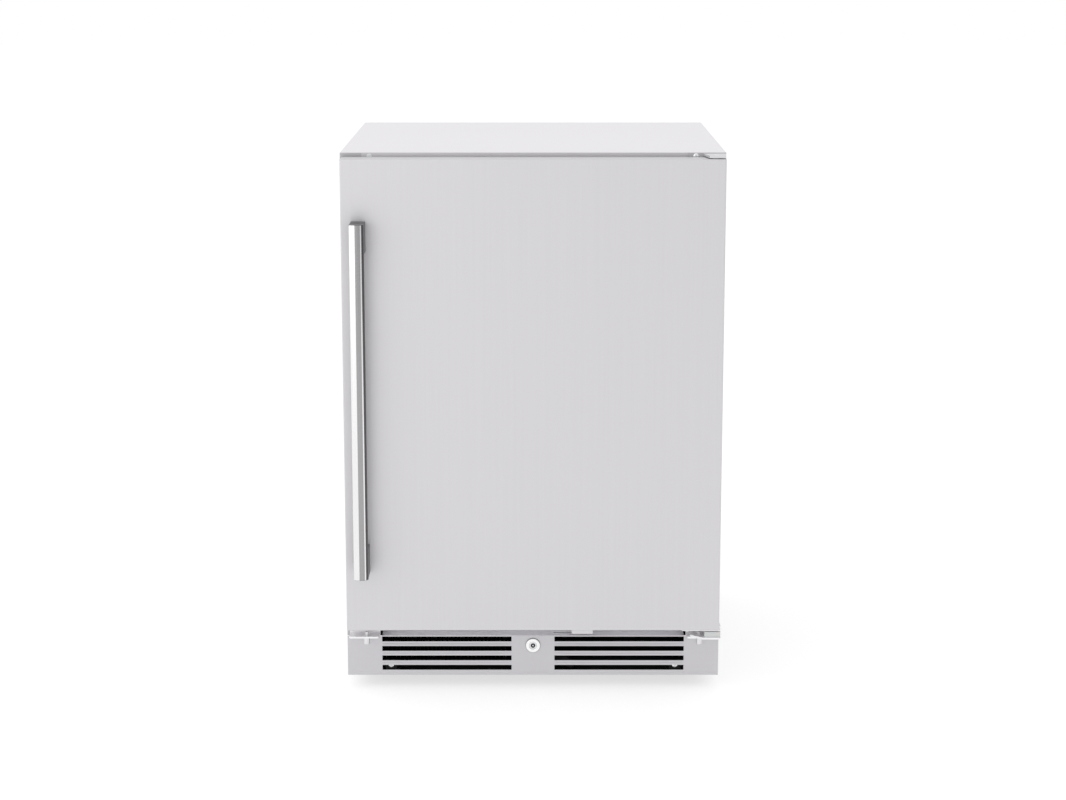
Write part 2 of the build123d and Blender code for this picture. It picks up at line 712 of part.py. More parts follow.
# The round-headed bolts under both brackets; the left one fills the holes of the spare bracket.
with BuildPart() as hinge_bolts:
    for x, y in bolt_spots:
        rod(4.75, (x, y, 78.4), (x, y, leaf_z[0]))
        rod(3.0, (x, y, leaf_z[0]), (x, y, 98))
hinge_bolts.part.label = "hinge_bolts"
export_step(hinge_bolts.part, "parts/hinge_bolts.step")

with BuildPart() as hinge_pins:
    rod(pin_radius, (pivot_x, pivot_y, leaf_z[1]), (pivot_x, pivot_y, leaf_z[1] + pin_length))
    rod(pin_radius, (pivot_x, pivot_y, upper_plate_z[1] - pin_length), (pivot_x, pivot_y, upper_plate_z[1]))
hinge_pins.part.label = "hinge_pins"
export_step(hinge_pins.part, "parts/hinge_pins.step")

# The upper hinge: a plate over the door and a flange on the cabinet face.
with BuildPart() as upper_hinge:
    with BuildSketch(Plane.XY.offset(upper_plate_z[0])):
        with BuildLine():
            Polyline((261, front), (297.2, front), (294, front - 42), (269, front - 42), close=True)
        make_face()
        with Locations((pivot_x, pivot_y)):
            Circle(pin_radius + running_clearance, mode=Mode.SUBTRACT)
    extrude(amount=upper_plate_z[1] - upper_plate_z[0])
    block((238, 270), (front - 3, front), (838, 859.4))
    screw_holes(hinge_screws, front)
upper_hinge.part.label = "upper_hinge"
export_step(upper_hinge.part, "parts/upper_hinge.step")

# Every sheet-metal screw: hinges, rear cover and the kickplate's tabs share one pattern.
screw_places = [(x, front - 3, z, 1) for x, z in hinge_screws]
screw_places += [(x, back_face, z, -1) for x, z in rear_screws]
screw_places += [(x, front + 6, z, 1) for x, z in tab_screws]
with BuildPart() as panel_screws:
    for x, y, z, inward in screw_places:
        rod(screw_radius, (x, y, z), (x, y + inward * screw_length, z))
        rod(screw_head, (x, y, z), (x, y - inward * screw_head_height, z))
        rod(2.0, (x, y - inward * 3, z), (x, y - inward * 0.8, z), Mode.SUBTRACT)
panel_screws.part.label = "panel_screws"
export_step(panel_screws.part, "parts/panel_screws.step")

with BuildPart() as hole_plug:
    plug_x, plug_z = plug_spot
    rod(4.0, (plug_x, front - 1.2, plug_z), (plug_x, front, plug_z))
    rod(2.0, (plug_x, front, plug_z), (plug_x, front + 6, plug_z))
hole_plug.part.label = "hole_plug"
export_step(hole_plug.part, "parts/hole_plug.step")

# ------------------------------------------------------------------ door

handle_x = (-279.0, -256.3)
handle_z = (203.0, 759.0)
handle_face = door_face - handle_reach
handle_back = handle_face + 14.0
mount_height = 47.0
handle_middle = sum(handle_x) / 2
handle_screw_spots = [(handle_middle, z) for z in (214.0, 239.0, 723.0, 748.0)]

# The folded stainless skin: front, four sides, holes for the pivots and the handle's screws.
with BuildPart() as door_skin:
    block((-door_half, door_half), (door_face, skin_back), (door_bottom, door_top))
    fillet(door_skin.edges().filter_by(Axis.Z).group_by(Axis.Y)[0], 1.6)
    fillet(door_skin.edges().filter_by(Axis.X).group_by(Axis.Y)[0], 1.2)
    inner_half = door_half - door_sheet
    inner_y = (door_face + door_sheet, skin_back + 1)
    inner_z = (door_bottom + door_sheet, door_top - door_sheet)
    block((-inner_half, inner_half), inner_y, inner_z, Mode.SUBTRACT)
    for z in (door_bottom, door_top):
        rod(bush_radius + 0.05, (pivot_x, pivot_y, z - 3), (pivot_x, pivot_y, z + 3), Mode.SUBTRACT)
    for x, z in handle_screw_spots:
        rod(2.6, (x, door_face - 3, z), (x, door_face + 3, z), Mode.SUBTRACT)
door_skin.part.label = "door_skin"
export_step(door_skin.part, "parts/door_skin.step")

# The insulation between skin and inner panel, moulded round the bushes and the handle's screws.
recess_half = 246.0
recess_z = (145.0, 811.0)
with BuildPart() as door_foam:
    foam_z = (door_bottom + door_sheet, door_top - door_sheet)
    block((-inner_half, inner_half), (door_face + door_sheet, skin_back), foam_z)
    for z in ((100, 130), (820, 860)):
        rod(bush_radius + 0.05, (pivot_x, pivot_y, z[0]), (pivot_x, pivot_y, z[1]), Mode.SUBTRACT)
    for x, z in handle_screw_spots:
        rod(5.1, (x, door_face, z), (x, door_face + 5, z), Mode.SUBTRACT)
door_foam.part.label = "door_foam"
export_step(door_foam.part, "parts/door_foam.step")

# The moulded inner panel: a flat border that carries the gasket and a raised, dished centre.
with BuildPart() as door_liner:
    block((-293.2, 293.2), (skin_back, door_back), (door_bottom + 1.3, door_top - 1.3))
    block((-recess_half, recess_half), (door_back, dike_back), recess_z)
    fillet(door_liner.edges().filter_by(Axis.Y).filter_by(lambda edge: edge.center().Y > front), 14)
    fillet(door_liner.faces().sort_by(Axis.Y)[-1].edges(), 5)
    with BuildSketch(Plane.XZ.offset(-dike_back)):
        with Locations((0, sum(recess_z) / 2)):
            RectangleRounded(2 * recess_half - 50, recess_z[1] - recess_z[0] - 50, 12)
    extrude(amount=13, mode=Mode.SUBTRACT)
door_liner.part.label = "door_liner"
export_step(door_liner.part, "parts/door_liner.step")

# The magnetic gasket, a flexible frame whose bellows stop just short of the cabinet face.
gasket_outer = (275.0, (116.0, 836.0))
with BuildPart() as door_gasket:
    gasket_half, gasket_z = gasket_outer
    block((-gasket_half, gasket_half), (door_back, front - gasket_gap), gasket_z)
    fillet(door_gasket.edges().filter_by(Axis.Y), 6)
    bead = (front - gasket_gap - 4.2, front - gasket_gap - 2.8)
    block((-gasket_half, gasket_half), bead, gasket_z, Mode.SUBTRACT)
    block((-gasket_half + 1.2, gasket_half - 1.2), bead, (gasket_z[0] + 1.2, gasket_z[1] - 1.2))
    inner_z = (gasket_z[0] + 18, gasket_z[1] - 18)
    block((-gasket_half + 18, gasket_half - 18), (front - 12, front + 6), inner_z, Mode.SUBTRACT)
door_gasket.part.label = "door_gasket"
export_step(door_gasket.part, "parts/door_gasket.step")

# Two nylon bushes that run on the pivot pins.
with BuildPart() as door_bushes:
    for z in ((105.8, 128.0), (823.0, 854.7)):
        rod(bush_radius, (pivot_x, pivot_y, z[0]), (pivot_x, pivot_y, z[1]))
    for z in ((100, 126.5), (824.2, 860)):
        ends = [(pivot_x, pivot_y, level) for level in z]
        rod(pin_radius + running_clearance, *ends, Mode.SUBTRACT)
door_bushes.part.label = "door_bushes"
export_step(door_bushes.part, "parts/door_bushes.step")

# The plate under the door's hinge corner, folded up beside the door's edge.
with BuildPart() as door_corner_plate:
    block((236, 297), (front - 40, front - 12), (106.1, door_bottom))
    block((door_half, 297), (front - 38, front - 20), (106.1, 114))
    rod(bush_radius + 0.05, (pivot_x, pivot_y, 100), (pivot_x, pivot_y, 112), Mode.SUBTRACT)
door_corner_plate.part.label = "door_corner_plate"
export_step(door_corner_plate.part, "parts/door_corner_plate.step")

# The lock's strike: a tab at the door's lower front edge and a tongue that reaches over the latch.
strike_x = (61.5, 94.5)
strike_lip = front + 23.5
with BuildPart() as strike_bracket:
    block(strike_x, (door_face + 1, door_face + 2.5), (102.6, door_bottom))
    block(strike_x, (door_face + 1, front - 12), (door_bottom - 1.5, door_bottom))
    block(strike_x, (front - 13.5, front - 12), (95.5, door_bottom))
    block(strike_x, (front - 13.5, strike_lip), (95.5, 97))
    block(strike_x, (strike_lip - 1.5, strike_lip), (89, 97))
strike_bracket.part.label = "strike_bracket"
export_step(strike_bracket.part, "parts/strike_bracket.step")

# The handle: a bar with a gently bowed face on two square mounts, held by screws from inside.
with BuildPart() as handle_bar:
    with BuildSketch(Plane.XY.offset(handle_z[0])):
        with BuildLine():
            left, right = handle_x
            ThreePointArc((left, handle_face + 3), (handle_middle, handle_face), (right, handle_face + 3))
            Line((right, handle_face + 3), (right, handle_back))
            Line((right, handle_back), (left, handle_back))
            Line((left, handle_back), (left, handle_face + 3))
        make_face()
    extrude(amount=handle_z[1] - handle_z[0])
    fillet(handle_bar.edges().filter_by(Axis.Z), 1.8)
handle_bar.part.label = "handle_bar"
export_step(handle_bar.part, "parts/handle_bar.step")

with BuildPart() as handle_mounts:
    for z in (handle_z[0], handle_z[1] - mount_height):
        block(handle_x, (handle_back, door_face), (z, z + mount_height))
    fillet(handle_mounts.edges().filter_by(Axis.Z), 1.8)
    for x, z in handle_screw_spots:
        rod(2.55, (x, handle_back + 8, z), (x, door_face + 1, z), Mode.SUBTRACT)
handle_mounts.part.label = "handle_mounts"
export_step(handle_mounts.part, "parts/handle_mounts.step")

with BuildPart() as handle_screws:
    for x, z in handle_screw_spots:
        rod(2.5, (x, handle_back + 10, z), (x, door_face + door_sheet, z))
        rod(5.0, (x, door_face + door_sheet, z), (x, door_face + 4, z))
handle_screws.part.label = "handle_screws"
export_step(handle_screws.part, "parts/handle_screws.step")
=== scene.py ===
"""Undercounter refrigerator: the finishes and the detailed pieces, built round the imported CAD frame.

Metres, in the CAD's own frame: +Z up, +X the viewer's right, the door faces -Y.
"""

import math

import bmesh
import bpy
import numpy as np
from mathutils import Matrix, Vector


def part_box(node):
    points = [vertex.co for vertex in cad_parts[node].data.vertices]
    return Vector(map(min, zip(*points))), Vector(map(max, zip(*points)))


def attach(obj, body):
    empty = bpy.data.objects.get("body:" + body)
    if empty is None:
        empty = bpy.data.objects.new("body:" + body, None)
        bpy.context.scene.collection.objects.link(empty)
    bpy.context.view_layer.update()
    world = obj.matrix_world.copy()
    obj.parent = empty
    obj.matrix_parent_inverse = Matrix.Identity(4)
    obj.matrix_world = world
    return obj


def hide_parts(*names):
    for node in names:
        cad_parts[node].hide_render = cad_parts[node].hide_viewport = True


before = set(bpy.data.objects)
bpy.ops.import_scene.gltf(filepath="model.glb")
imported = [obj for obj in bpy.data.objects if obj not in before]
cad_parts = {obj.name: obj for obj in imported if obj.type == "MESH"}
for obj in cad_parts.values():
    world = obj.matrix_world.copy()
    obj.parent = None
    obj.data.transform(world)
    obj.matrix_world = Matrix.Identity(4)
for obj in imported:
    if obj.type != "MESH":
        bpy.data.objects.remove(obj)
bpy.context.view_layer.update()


# ------------------------------------------------------------------ side panels
# Folded stainless sheets with a fine vertical grain. They are the cabinet's outer skin, and the
# foam behind them is what holds them flat.
MM = 0.001
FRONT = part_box("kickplate")[0].y  # the plane of the cabinet's face flanges


class Signal:
    """One output of a material's node. Sums, products and the like add the Math node they stand for."""

    def __init__(self, tree, socket):
        self.tree = tree
        self.socket = socket

    def node(self, kind, settings=None, inputs=None, output=0):
        """Adds a node: its settings first, then a value or another signal into each named input."""
        made = self.tree.nodes.new(kind)
        for name, value in (settings or {}).items():
            setattr(made, name, value)
        for name, value in (inputs or {}).items():
            if isinstance(value, Signal):
                self.tree.links.new(value.socket, made.inputs[name])
            else:
                made.inputs[name].default_value = value
        return Signal(self.tree, made.outputs[output])

    def math(self, operation, other=0.0):
        """The signal and a number or another signal, through one Math node."""
        return self.node("ShaderNodeMath", {"operation": operation}, {0: self, 1: other})

    def __add__(self, other):
        return self.math("ADD", other)

    def __sub__(self, other):
        return self.math("SUBTRACT", other)

    def __rsub__(self, other):
        return self.node("ShaderNodeMath", {"operation": "SUBTRACT"}, {0: other, 1: self})

    def __mul__(self, other):
        return self.math("MULTIPLY", other)

    __radd__ = __add__
    __rmul__ = __mul__

    def beyond(self, limit, axis):
        """1 where the place lies past the limit along one axis (0 to 2), and 0 elsewhere."""
        return self.node("ShaderNodeSeparateXYZ", None, {"Vector": self}, axis).math("GREATER_THAN", limit)

    def clamp(self):
        """The signal, held between 0 and 1."""
        return self.node("ShaderNodeClamp", None, {"Value": self})

    def stretched(self, scale):
        """The place, scaled by a different amount along each axis."""
        return self.node("ShaderNodeMapping", None, {"Vector": self, "Scale": scale})

    def noise(self, scale, detail=3.0, rough=0.55):
        """Cloudy noise from 0 to 1, with scale features to the metre."""
        inputs = {"Vector": self, "Scale": scale, "Detail": detail, "Roughness": rough}
        return self.node("ShaderNodeTexNoise", None, inputs)

    def blend(self, first, second):
        """One colour where the signal is 0 and the other where it is 1."""
        inputs = {0: self}
        for slot, colour in ((6, first), (7, second)):
            inputs[slot] = colour if isinstance(colour, Signal) else (*colour, 1.0)
        return self.node("ShaderNodeMix", {"data_type": "RGBA"}, inputs, 2)


def begin(name):
    """A new material, and the place on the piece that its patterns are read from."""
    material = bpy.data.materials.new(name)
    material.use_nodes = True
    tree = material.node_tree
    tree.nodes.clear()
    return material, Signal(tree, tree.nodes.new("ShaderNodeTexCoord").outputs["Object"])


def complete(material, place, height=None, depth=0.0, **sockets):
    """Ends a material in its shader. height times depth, in metres, gives the bump."""
    titles = {name: name.replace("_", " ").title().replace("Ior", "IOR") for name in sockets}
    inputs = {titles[name]: value for name, value in sockets.items()}
    if height is not None:
        relief = {"Height": height, "Distance": depth, "Strength": 1.0}
        inputs["Normal"] = place.node("ShaderNodeBump", None, relief)
    shader = place.node("ShaderNodeBsdfPrincipled", None, inputs)
    ending = place.tree.nodes.new("ShaderNodeOutputMaterial")
    place.tree.links.new(shader.socket, ending.inputs["Surface"])
    return material


def brushed_steel(name, grain, tone, roughness=0.42, metallic=0.8, painted_part=None, painted_share=0.72):
    """Stainless sheet. The grain is noise drawn out along one axis, in three widths, and broad clouds
    change the gloss. Where the part mask is 1, the tone is multiplied by the share: painted shade
    where the share is under 1, painted light where it is over 1."""
    material, place = begin(name)
    along = {"x": (0, 1, 1), "y": (1, 0, 1), "z": (1, 1, 0)}[grain]
    fine = place.stretched([950 * a + 5 for a in along]).noise(1.0, 2.0)
    middle = place.stretched([260 * a + 1.6 for a in along]).noise(1.0, 3.0)
    wide = place.stretched([45 * a + 0.7 for a in along]).noise(1.0, 2.0)
    handled = place.noise(5.0, 3.0)
    strands = fine * 0.55 + middle * 0.35 + wide * 0.1
    dark = [c * 0.98 for c in tone]
    light = [min(1.0, c * 1.018) for c in tone]
    colour = ((strands - 0.3) * 2.4).clamp().blend(dark, light)
    if painted_part:
        colour = painted_part(place).blend(colour, [c * painted_share for c in tone])
    return complete(
        material,
        place,
        base_color=colour,
        metallic=metallic,
        roughness=strands * 0.10 + handled * 0.05 + (roughness - 0.075),
        height=fine * 0.6 + middle * 0.4,
        depth=0.000012,
    )


def dress(material, *names):
    """Gives a material to CAD nodes whose shape is already right."""
    for name in names:
        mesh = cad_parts[name].data
        mesh.materials.clear()
        mesh.materials.append(material)


def turned_face_shade(place):
    """1 on the face flange, which stands in the cabinet's front plane and is given painted shade, and 0 on
    the rest.
    """
    return 1 - place.beyond(FRONT + 0.6 * MM, 1)


# The face flanges keep 0.72 of the tone: painted shade in the gaps beside the door.
side_steel = brushed_steel("side_panel_steel", "z", (0.66, 0.65, 0.668), painted_part=turned_face_shade)
dress(side_steel, "side_panel_left", "side_panel_right")

# ------------------------------------------------------------------ top panel
# The same stainless sheet, polished left to right, with a lighter tone than the sides as painted light
# on its upward face. Its front edge is turned down, and the turned face is darkened as painted shade
# in the gap above the door.
top_steel = brushed_steel("sheet_steel_across", "x", (0.845, 0.83, 0.855), painted_part=turned_face_shade)
dress(top_steel, "top_panel")

# ------------------------------------------------------------------ rear sheets and deck
# The back and its screwed-on cover are zinc-coated sheet, dull and spangled. The deck under the
# insulated box is stainless, because its front edge shows under the door.
material, place = begin("zinc_coated_sheet")
spangle = place.node("ShaderNodeTexVoronoi", {"feature": "F1"}, {"Vector": place, "Scale": 260.0}, 1)
crystal = spangle.node("ShaderNodeRGBToBW", None, {"Color": spangle})
streak = place.noise(240.0, 4.0)
zinc_sheet = complete(
    material,
    place,
    base_color=(crystal * 0.6 + streak * 0.4).clamp().blend((0.47, 0.48, 0.49), (0.58, 0.585, 0.595)),
    metallic=0.9,
    roughness=crystal * 0.12 + streak * 0.1 + 0.36,
    height=crystal * 0.5 + streak * 0.5,
    depth=0.00001,
)
dress(zinc_sheet, "rear_panel", "rear_cover")
# The deck's steel is near white and little metallic: painted light on its strip in the shade under the
# door.
deck_steel = brushed_steel("deck_steel", "x", (0.93, 0.925, 0.935), metallic=0.3)
dress(deck_steel, "bottom_deck")

# ------------------------------------------------------------------ insulation
# Rigid polyurethane, foamed in place between the sheets and the liner. Its cells only show where
# a hole is cut.
material, place = begin("rigid_foam")
bubbles = {"Vector": place, "Scale": 420.0}
cells = place.node("ShaderNodeTexVoronoi", {"feature": "DISTANCE_TO_EDGE"}, bubbles)
yellowing = place.noise(7.0, 3.0)
rigid_foam = complete(
    material,
    place,
    base_color=(yellowing * 1.4 - 0.2).clamp().blend((0.80, 0.69, 0.40), (0.88, 0.80, 0.55)),
    roughness=0.9,
    height=cells,
    depth=0.0004,
)
dress(rigid_foam, "cabinet_foam", "door_foam")

# ------------------------------------------------------------------ liner, air duct cover and door liner
# Vacuum-formed white plastic with a very slight orange peel. The duct cover clips to the liner, and
# the door's inner panel is held by the foam.
material, place = begin("white_liner_plastic")
peel = place.noise(260.0, 2.0)
drawn = place.noise(4.0, 2.0)
white_plastic = complete(
    material,
    place,
    base_color=(drawn * 1.5 - 0.25).clamp().blend((0.80, 0.81, 0.805), (0.86, 0.865, 0.86)),
    roughness=drawn * 0.1 + peel * 0.06 + 0.22,
    height=peel,
    depth=0.00008,
    coat_weight=0.15,
    coat_roughness=0.2,
)
dress(white_plastic, "inner_liner", "evaporator_cover", "door_liner")

# ------------------------------------------------------------------ evaporator and copper lines
# Thin aluminium fins pressed on tube, and drawn copper pipes brazed to both coils and to the
# compressor.
material, place = begin("mill_aluminium")
roll = place.stretched((40, 40, 900)).noise(1.0, 3.0)
mill_aluminium = complete(
    material,
    place,
    base_color=roll.blend((0.60, 0.61, 0.62), (0.78, 0.785, 0.79)),
    metallic=1.0,
    roughness=roll * 0.15 + 0.33,
    height=roll,
    depth=0.00002,
)
dress(mill_aluminium, "evaporator_coil")

material, place = begin("drawn_copper")
tarnish = place.noise(60.0, 5.0, 0.65)
copper = complete(
    material,
    place,
    base_color=(tarnish * 2.2 - 0.6).clamp().blend((0.36, 0.17, 0.10), (0.86, 0.46, 0.30)),
    metallic=1.0,
    roughness=tarnish * 0.3 + 0.18,
    height=tarnish,
    depth=0.00004,
)
dress(copper, "refrigerant_tubes")


# ------------------------------------------------------------------ fans
# Two axial fans moulded in black plastic, each pressed on its motor's shaft: a capped hub with five
# pitched blades. The motors, electronics box and drip tray are the same plastic.


def quads_of(grid, start, rows_close, columns_close):
    """The quads between neighbouring points of a grid, as rows by columns by four corners. The first
    point has the number start, and rows or columns that close on themselves get quads across the join."""
    rows, columns = grid.shape[:2]
    index = start + np.arange(rows * columns).reshape(rows, columns)
    if rows_close:
        index = np.vstack([index, index[:1]])
    if columns_close:
        index = np.hstack([index, index[:, :1]])
    return np.stack([index[:-1, :-1], index[:-1, 1:], index[1:, 1:], index[1:, :-1]], axis=2)


def merged(name, grids, material, body=None, stands_for=()):
    """Joins point grids into one piece. Each grid is an array of rows by columns of places, and says
    with two flags whether its rows and its columns close on themselves."""
    points, faces, start = [], [], 0
    for grid, rows_close, columns_close in grids:
        faces.append(quads_of(grid, start, rows_close, columns_close).reshape(-1, 4))
        points.append(grid.reshape(-1, 3))
        start += len(points[-1])
    return finished(name, points, faces, material, body, True, stands_for)


def finished(name, points, faces, material, body, smooth, stands_for):
    """Makes a mesh of lists of points and quads, welds its doubles, turns its faces outwards, and puts
    it on its body in place of CAD nodes."""
    mesh = bpy.data.meshes.new(name)
    mesh.from_pydata(np.concatenate(points).tolist(), [], np.concatenate(faces).tolist())
    shape = bmesh.new()
    shape.from_mesh(mesh)
    bmesh.ops.remove_doubles(shape, verts=shape.verts, dist=0.000002)
    bmesh.ops.dissolve_degenerate(shape, edges=shape.edges, dist=0.000001)
    bmesh.ops.recalc_face_normals(shape, faces=shape.faces)
    shape.to_mesh(mesh)
    shape.free()
    mesh.materials.append(material)
    if smooth:
        mesh.polygons.foreach_set("use_smooth", np.ones(len(mesh.polygons), dtype=bool))
        mesh.set_sharp_from_angle(angle=math.radians(32))
    piece = bpy.data.objects.new(name, mesh)
    bpy.context.scene.collection.objects.link(piece)
    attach(piece, body or "cabinet")
    if stands_for:
        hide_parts(*stands_for)
    return piece


def lathe(profile, centre, axis, steps=48):
    """A turned surface. The profile is pairs of radius and height; each pair is carried round the
    axis through the centre: centre + radius * (cos t * side + sin t * up) + height * axis."""
    profile = np.asarray(profile, dtype=float)
    axis = np.asarray(Vector(axis).normalized())
    aslant = (0.31, 0.17, 0.94)  # along no axis that is turned about here
    side = np.cross(axis, aslant)
    side /= np.linalg.norm(side)
    up = np.cross(axis, side)
    t = np.linspace(0, 2 * np.pi, steps, endpoint=False)
    ring = np.cos(t)[:, None] * side + np.sin(t)[:, None] * up
    grid = profile[:, 0, None, None] * ring[None] + profile[:, 1, None, None] * axis + np.asarray(centre)
    return grid, False, True


def softened(profile, radius, steps=4):
    """Rounds a profile's corners: each corner gives way to a short curve between points one radius
    before and after it, by the quadratic Bezier formula (1-s)^2 a + 2s(1-s) b + s^2 c."""
    profile = np.asarray(profile, dtype=float)
    before = profile[:-2] - profile[1:-1]
    after = profile[2:] - profile[1:-1]
    lengths = [np.linalg.norm(v, axis=1, keepdims=True) for v in (before, after)]
    reach = np.minimum(radius, 0.49 * np.minimum(*lengths))
    a = profile[1:-1] + before / lengths[0] * reach
    c = profile[1:-1] + after / lengths[1] * reach
    s = np.linspace(0, 1, steps)[None, :, None]
    curve = (1 - s) ** 2 * a[:, None] + 2 * s * (1 - s) * profile[1:-1][:, None] + s**2 * c[:, None]
    return np.concatenate([profile[:1], curve.reshape(-1, 2), profile[-1:]])


material, place = begin("black_moulded_plastic")
stipple = place.noise(1500.0, 2.0)
bloom = place.noise(30.0, 4.0)
black_plastic = complete(
    material,
    place,
    base_color=bloom.blend((0.012, 0.012, 0.013), (0.035, 0.035, 0.037)),
    roughness=bloom * 0.15 + 0.42,
    height=stipple,
    depth=0.00006,
)
dress(black_plastic, "evaporator_fan_motor", "condenser_fan_motor", "electronics_box", "drip_tray")


def fan(name, hub, tip, blades):
    """A fan on the Y axis. Along a blade the chord is swept and twisted: at span s and section angle
    v, the point is off the hub by s, turned by cos v half chords, and pitched by the blade's angle."""
    low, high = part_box(name)
    centre = np.array((low + high) / 2)
    half = (high.y - low.y) / 2 * 0.96
    bore = hub * 0.86
    cap = [(0, half), (hub * 0.8, half), (hub, half * 0.7), (hub, -half), (bore, -half), (bore, 0), (0, 0)]
    grids = [lathe(softened(cap, 1.2 * MM), centre, (0, -1, 0))]
    s = np.linspace(0, 1, 14)[:, None]
    v = np.linspace(0, 2 * np.pi, 20, endpoint=False)[None, :]
    radius = hub * 0.97 + s * (tip - hub * 0.97)
    pitch = np.radians(42 - 22 * s)
    chord = tip * (0.40 + 0.16 * np.sin(np.pi * s)) * np.minimum(1, 0.55 + 3 * (1 - s)) * np.cos(v)
    thick = 0.9 * MM * (1 - 0.4 * s) * np.sin(v)
    sweep = 0.35 * s**1.5 + chord * np.cos(pitch) / radius
    lift = np.clip(chord * np.sin(pitch) + thick * np.cos(pitch), -half, half)
    for blade in range(blades):
        turn = sweep + 2 * np.pi * blade / blades
        grid = np.stack([radius * np.cos(turn), -lift, radius * np.sin(turn)], axis=2) + centre
        grids.append((grid, False, True))
        grids.append((np.stack([grid[-1], grid[-1].mean(0) + 0 * grid[-1]]), False, True))
    return merged(f"{name}_blades", grids, black_plastic, name, stands_for=(name,))


fan("evaporator_fan", 15 * MM, 47.5 * MM, 5)
fan("condenser_fan", 12 * MM, 31.5 * MM, 5)

# ------------------------------------------------------------------ shelves, uprights and clips
# Chromed wire shelves: bars and long wires spot-welded to a bent rim. They rest on spring clips
# hooked into slotted stainless uprights.


def tube(path, radius, sides=12, closed=False):
    """A round wire along a path of points. At each point the ring lies across the path's direction:
    point + radius * (cos t * side + sin t * up). An open end shrinks to a point over half a radius."""
    path = np.asarray(path, dtype=float)
    reach = np.ones(len(path))
    if closed:
        run = np.roll(path, -1, axis=0) - np.roll(path, 1, axis=0)
    else:
        start = (path[1] - path[0]) / np.linalg.norm(path[1] - path[0])
        end = (path[-1] - path[-2]) / np.linalg.norm(path[-1] - path[-2])
        dome = np.array([0.0, 0.12, 0.5])[:, None] * radius
        path = np.vstack([path[0] + dome * start, path[1:-1], path[-1] - dome[::-1] * end])
        reach = np.concatenate([(0, 0.75, 1), reach[1:-1], (1, 0.75, 0)])
        run = np.gradient(path, axis=0)
    run /= np.linalg.norm(run, axis=1, keepdims=True)
    helper = np.where(np.abs(run[:, 2:]) < 0.9, (0.0, 0.0, 1.0), (0.0, 1.0, 0.0))
    side = np.cross(run, helper)
    side /= np.linalg.norm(side, axis=1, keepdims=True)
    up = np.cross(side, run)
    t = np.linspace(0, 2 * np.pi, sides, endpoint=False)
    ring = np.cos(t)[None, :, None] * side[:, None] + np.sin(t)[None, :, None] * up[:, None]
    return path[:, None] + radius * reach[:, None, None] * ring, closed, True


def rounded_loop(x_range, y_range, radius, steps=7):
    """A rectangle's outline with quarter-circle corners, as points in order."""
    left, right = x_range[0] + radius, x_range[1] - radius
    low, high = y_range[0] + radius, y_range[1] - radius
    middles = np.repeat([(right, high), (left, high), (left, low), (right, low)], steps, axis=0)
    angle = (np.linspace(0, np.pi / 2, steps)[None, :] + np.arange(4)[:, None] * np.pi / 2).ravel()
    return middles + radius * np.stack([np.cos(angle), np.sin(angle)], axis=1)


def slab(outline, z_range, edge, axes=(0, 1, 2)):
    """A plate or bar: its outline carried from one height to another. Near each face the outline
    shrinks towards its middle by edge * (1 - cos t) as the height turns by sin t, which rounds it."""
    outline = np.asarray(outline, dtype=float)
    middle = outline.mean(0)
    after = np.roll(outline, -1, axis=0) - np.roll(outline, 1, axis=0)
    inward = np.stack([-after[:, 1], after[:, 0]], axis=1)
    inward /= np.linalg.norm(inward, axis=1, keepdims=True)
    t = np.linspace(0, np.pi / 2, 5)
    inset = np.concatenate([edge * (1 - np.sin(t)), edge * (1 - np.sin(t[::-1]))])
    rise = edge * (1 - np.cos(t))
    height = np.concatenate([z_range[0] + rise, z_range[1] - rise[::-1]])
    rings = outline[None] + inset[:, None, None] * inward[None]
    rings = np.concatenate([middle + 0 * rings[:1], rings, middle + 0 * rings[:1]])
    height = np.concatenate([height[:1], height, height[-1:]])
    grid = np.empty((*rings.shape[:2], 3))
    grid[..., axes[0]] = rings[..., 0]
    grid[..., axes[1]] = rings[..., 1]
    grid[..., axes[2]] = height[:, None]
    return grid, False, True


material, place = begin("bright_plating")
haze = place.noise(35.0, 3.0)
bright_plating = complete(
    material,
    place,
    base_color=haze.blend((0.76, 0.77, 0.78), (0.86, 0.865, 0.87)),
    metallic=1.0,
    roughness=haze * 0.1 + 0.07,
    height=haze,
    depth=0.00002,
)
dress(bright_plating, "hinge_pins", "lock_nut")
upright_steel = brushed_steel("upright_steel", "z", (0.62, 0.62, 0.63), roughness=0.36)
dress(upright_steel, "shelf_pilasters", "shelf_clips")

wire_gap = 25 * MM
bar_inset = 89 * MM
for name in ("shelf_1", "shelf_2"):
    low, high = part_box(name)
    rim = 3.0 * MM
    level = low.z + rim
    loop = rounded_loop((low.x + rim, high.x - rim), (low.y + rim, high.y - rim), 14 * MM)
    grids = [tube(np.insert(loop, 2, level, axis=1), rim, closed=True)]
    inner = (low.y + 4 * MM, high.y - 4 * MM)
    for y in (inner[0] + bar_inset, sum(inner) / 2, inner[1] - bar_inset):
        grids.append(tube([(low.x + rim, y, level), (high.x - rim, y, level)], 2.5 * MM))
    for wire in range(-9, 10):
        y = np.array([low.y + 1.5 * MM, low.y + 6 * MM, high.y - 6 * MM, high.y - 1.5 * MM])
        drop = np.array([0.6, 0, 0, 0.6]) * MM
        path = np.stack([np.full(len(y), wire * wire_gap), y, level + 3.6 * MM - drop], axis=1)
        grids.append(tube(path, 1.7 * MM, sides=10))
    merged(f"{name}_wires", grids, bright_plating, name, stands_for=(name,))

# ------------------------------------------------------------------ controls and light
# A black moulded housing clipped to the liner's ceiling, with a smoked display and two push
# buttons, and a frosted diffuser over the light strip behind it.
dress(black_plastic, "control_housing")

material, place = begin("smoked_display")
dust = place.noise(90.0, 3.0)
smoked = complete(
    material,
    place,
    base_color=dust.blend((0.004, 0.004, 0.006), (0.012, 0.012, 0.016)),
    roughness=dust * 0.08 + 0.04,
    coat_weight=1.0,
    coat_roughness=0.03,
)
dress(smoked, "control_display")

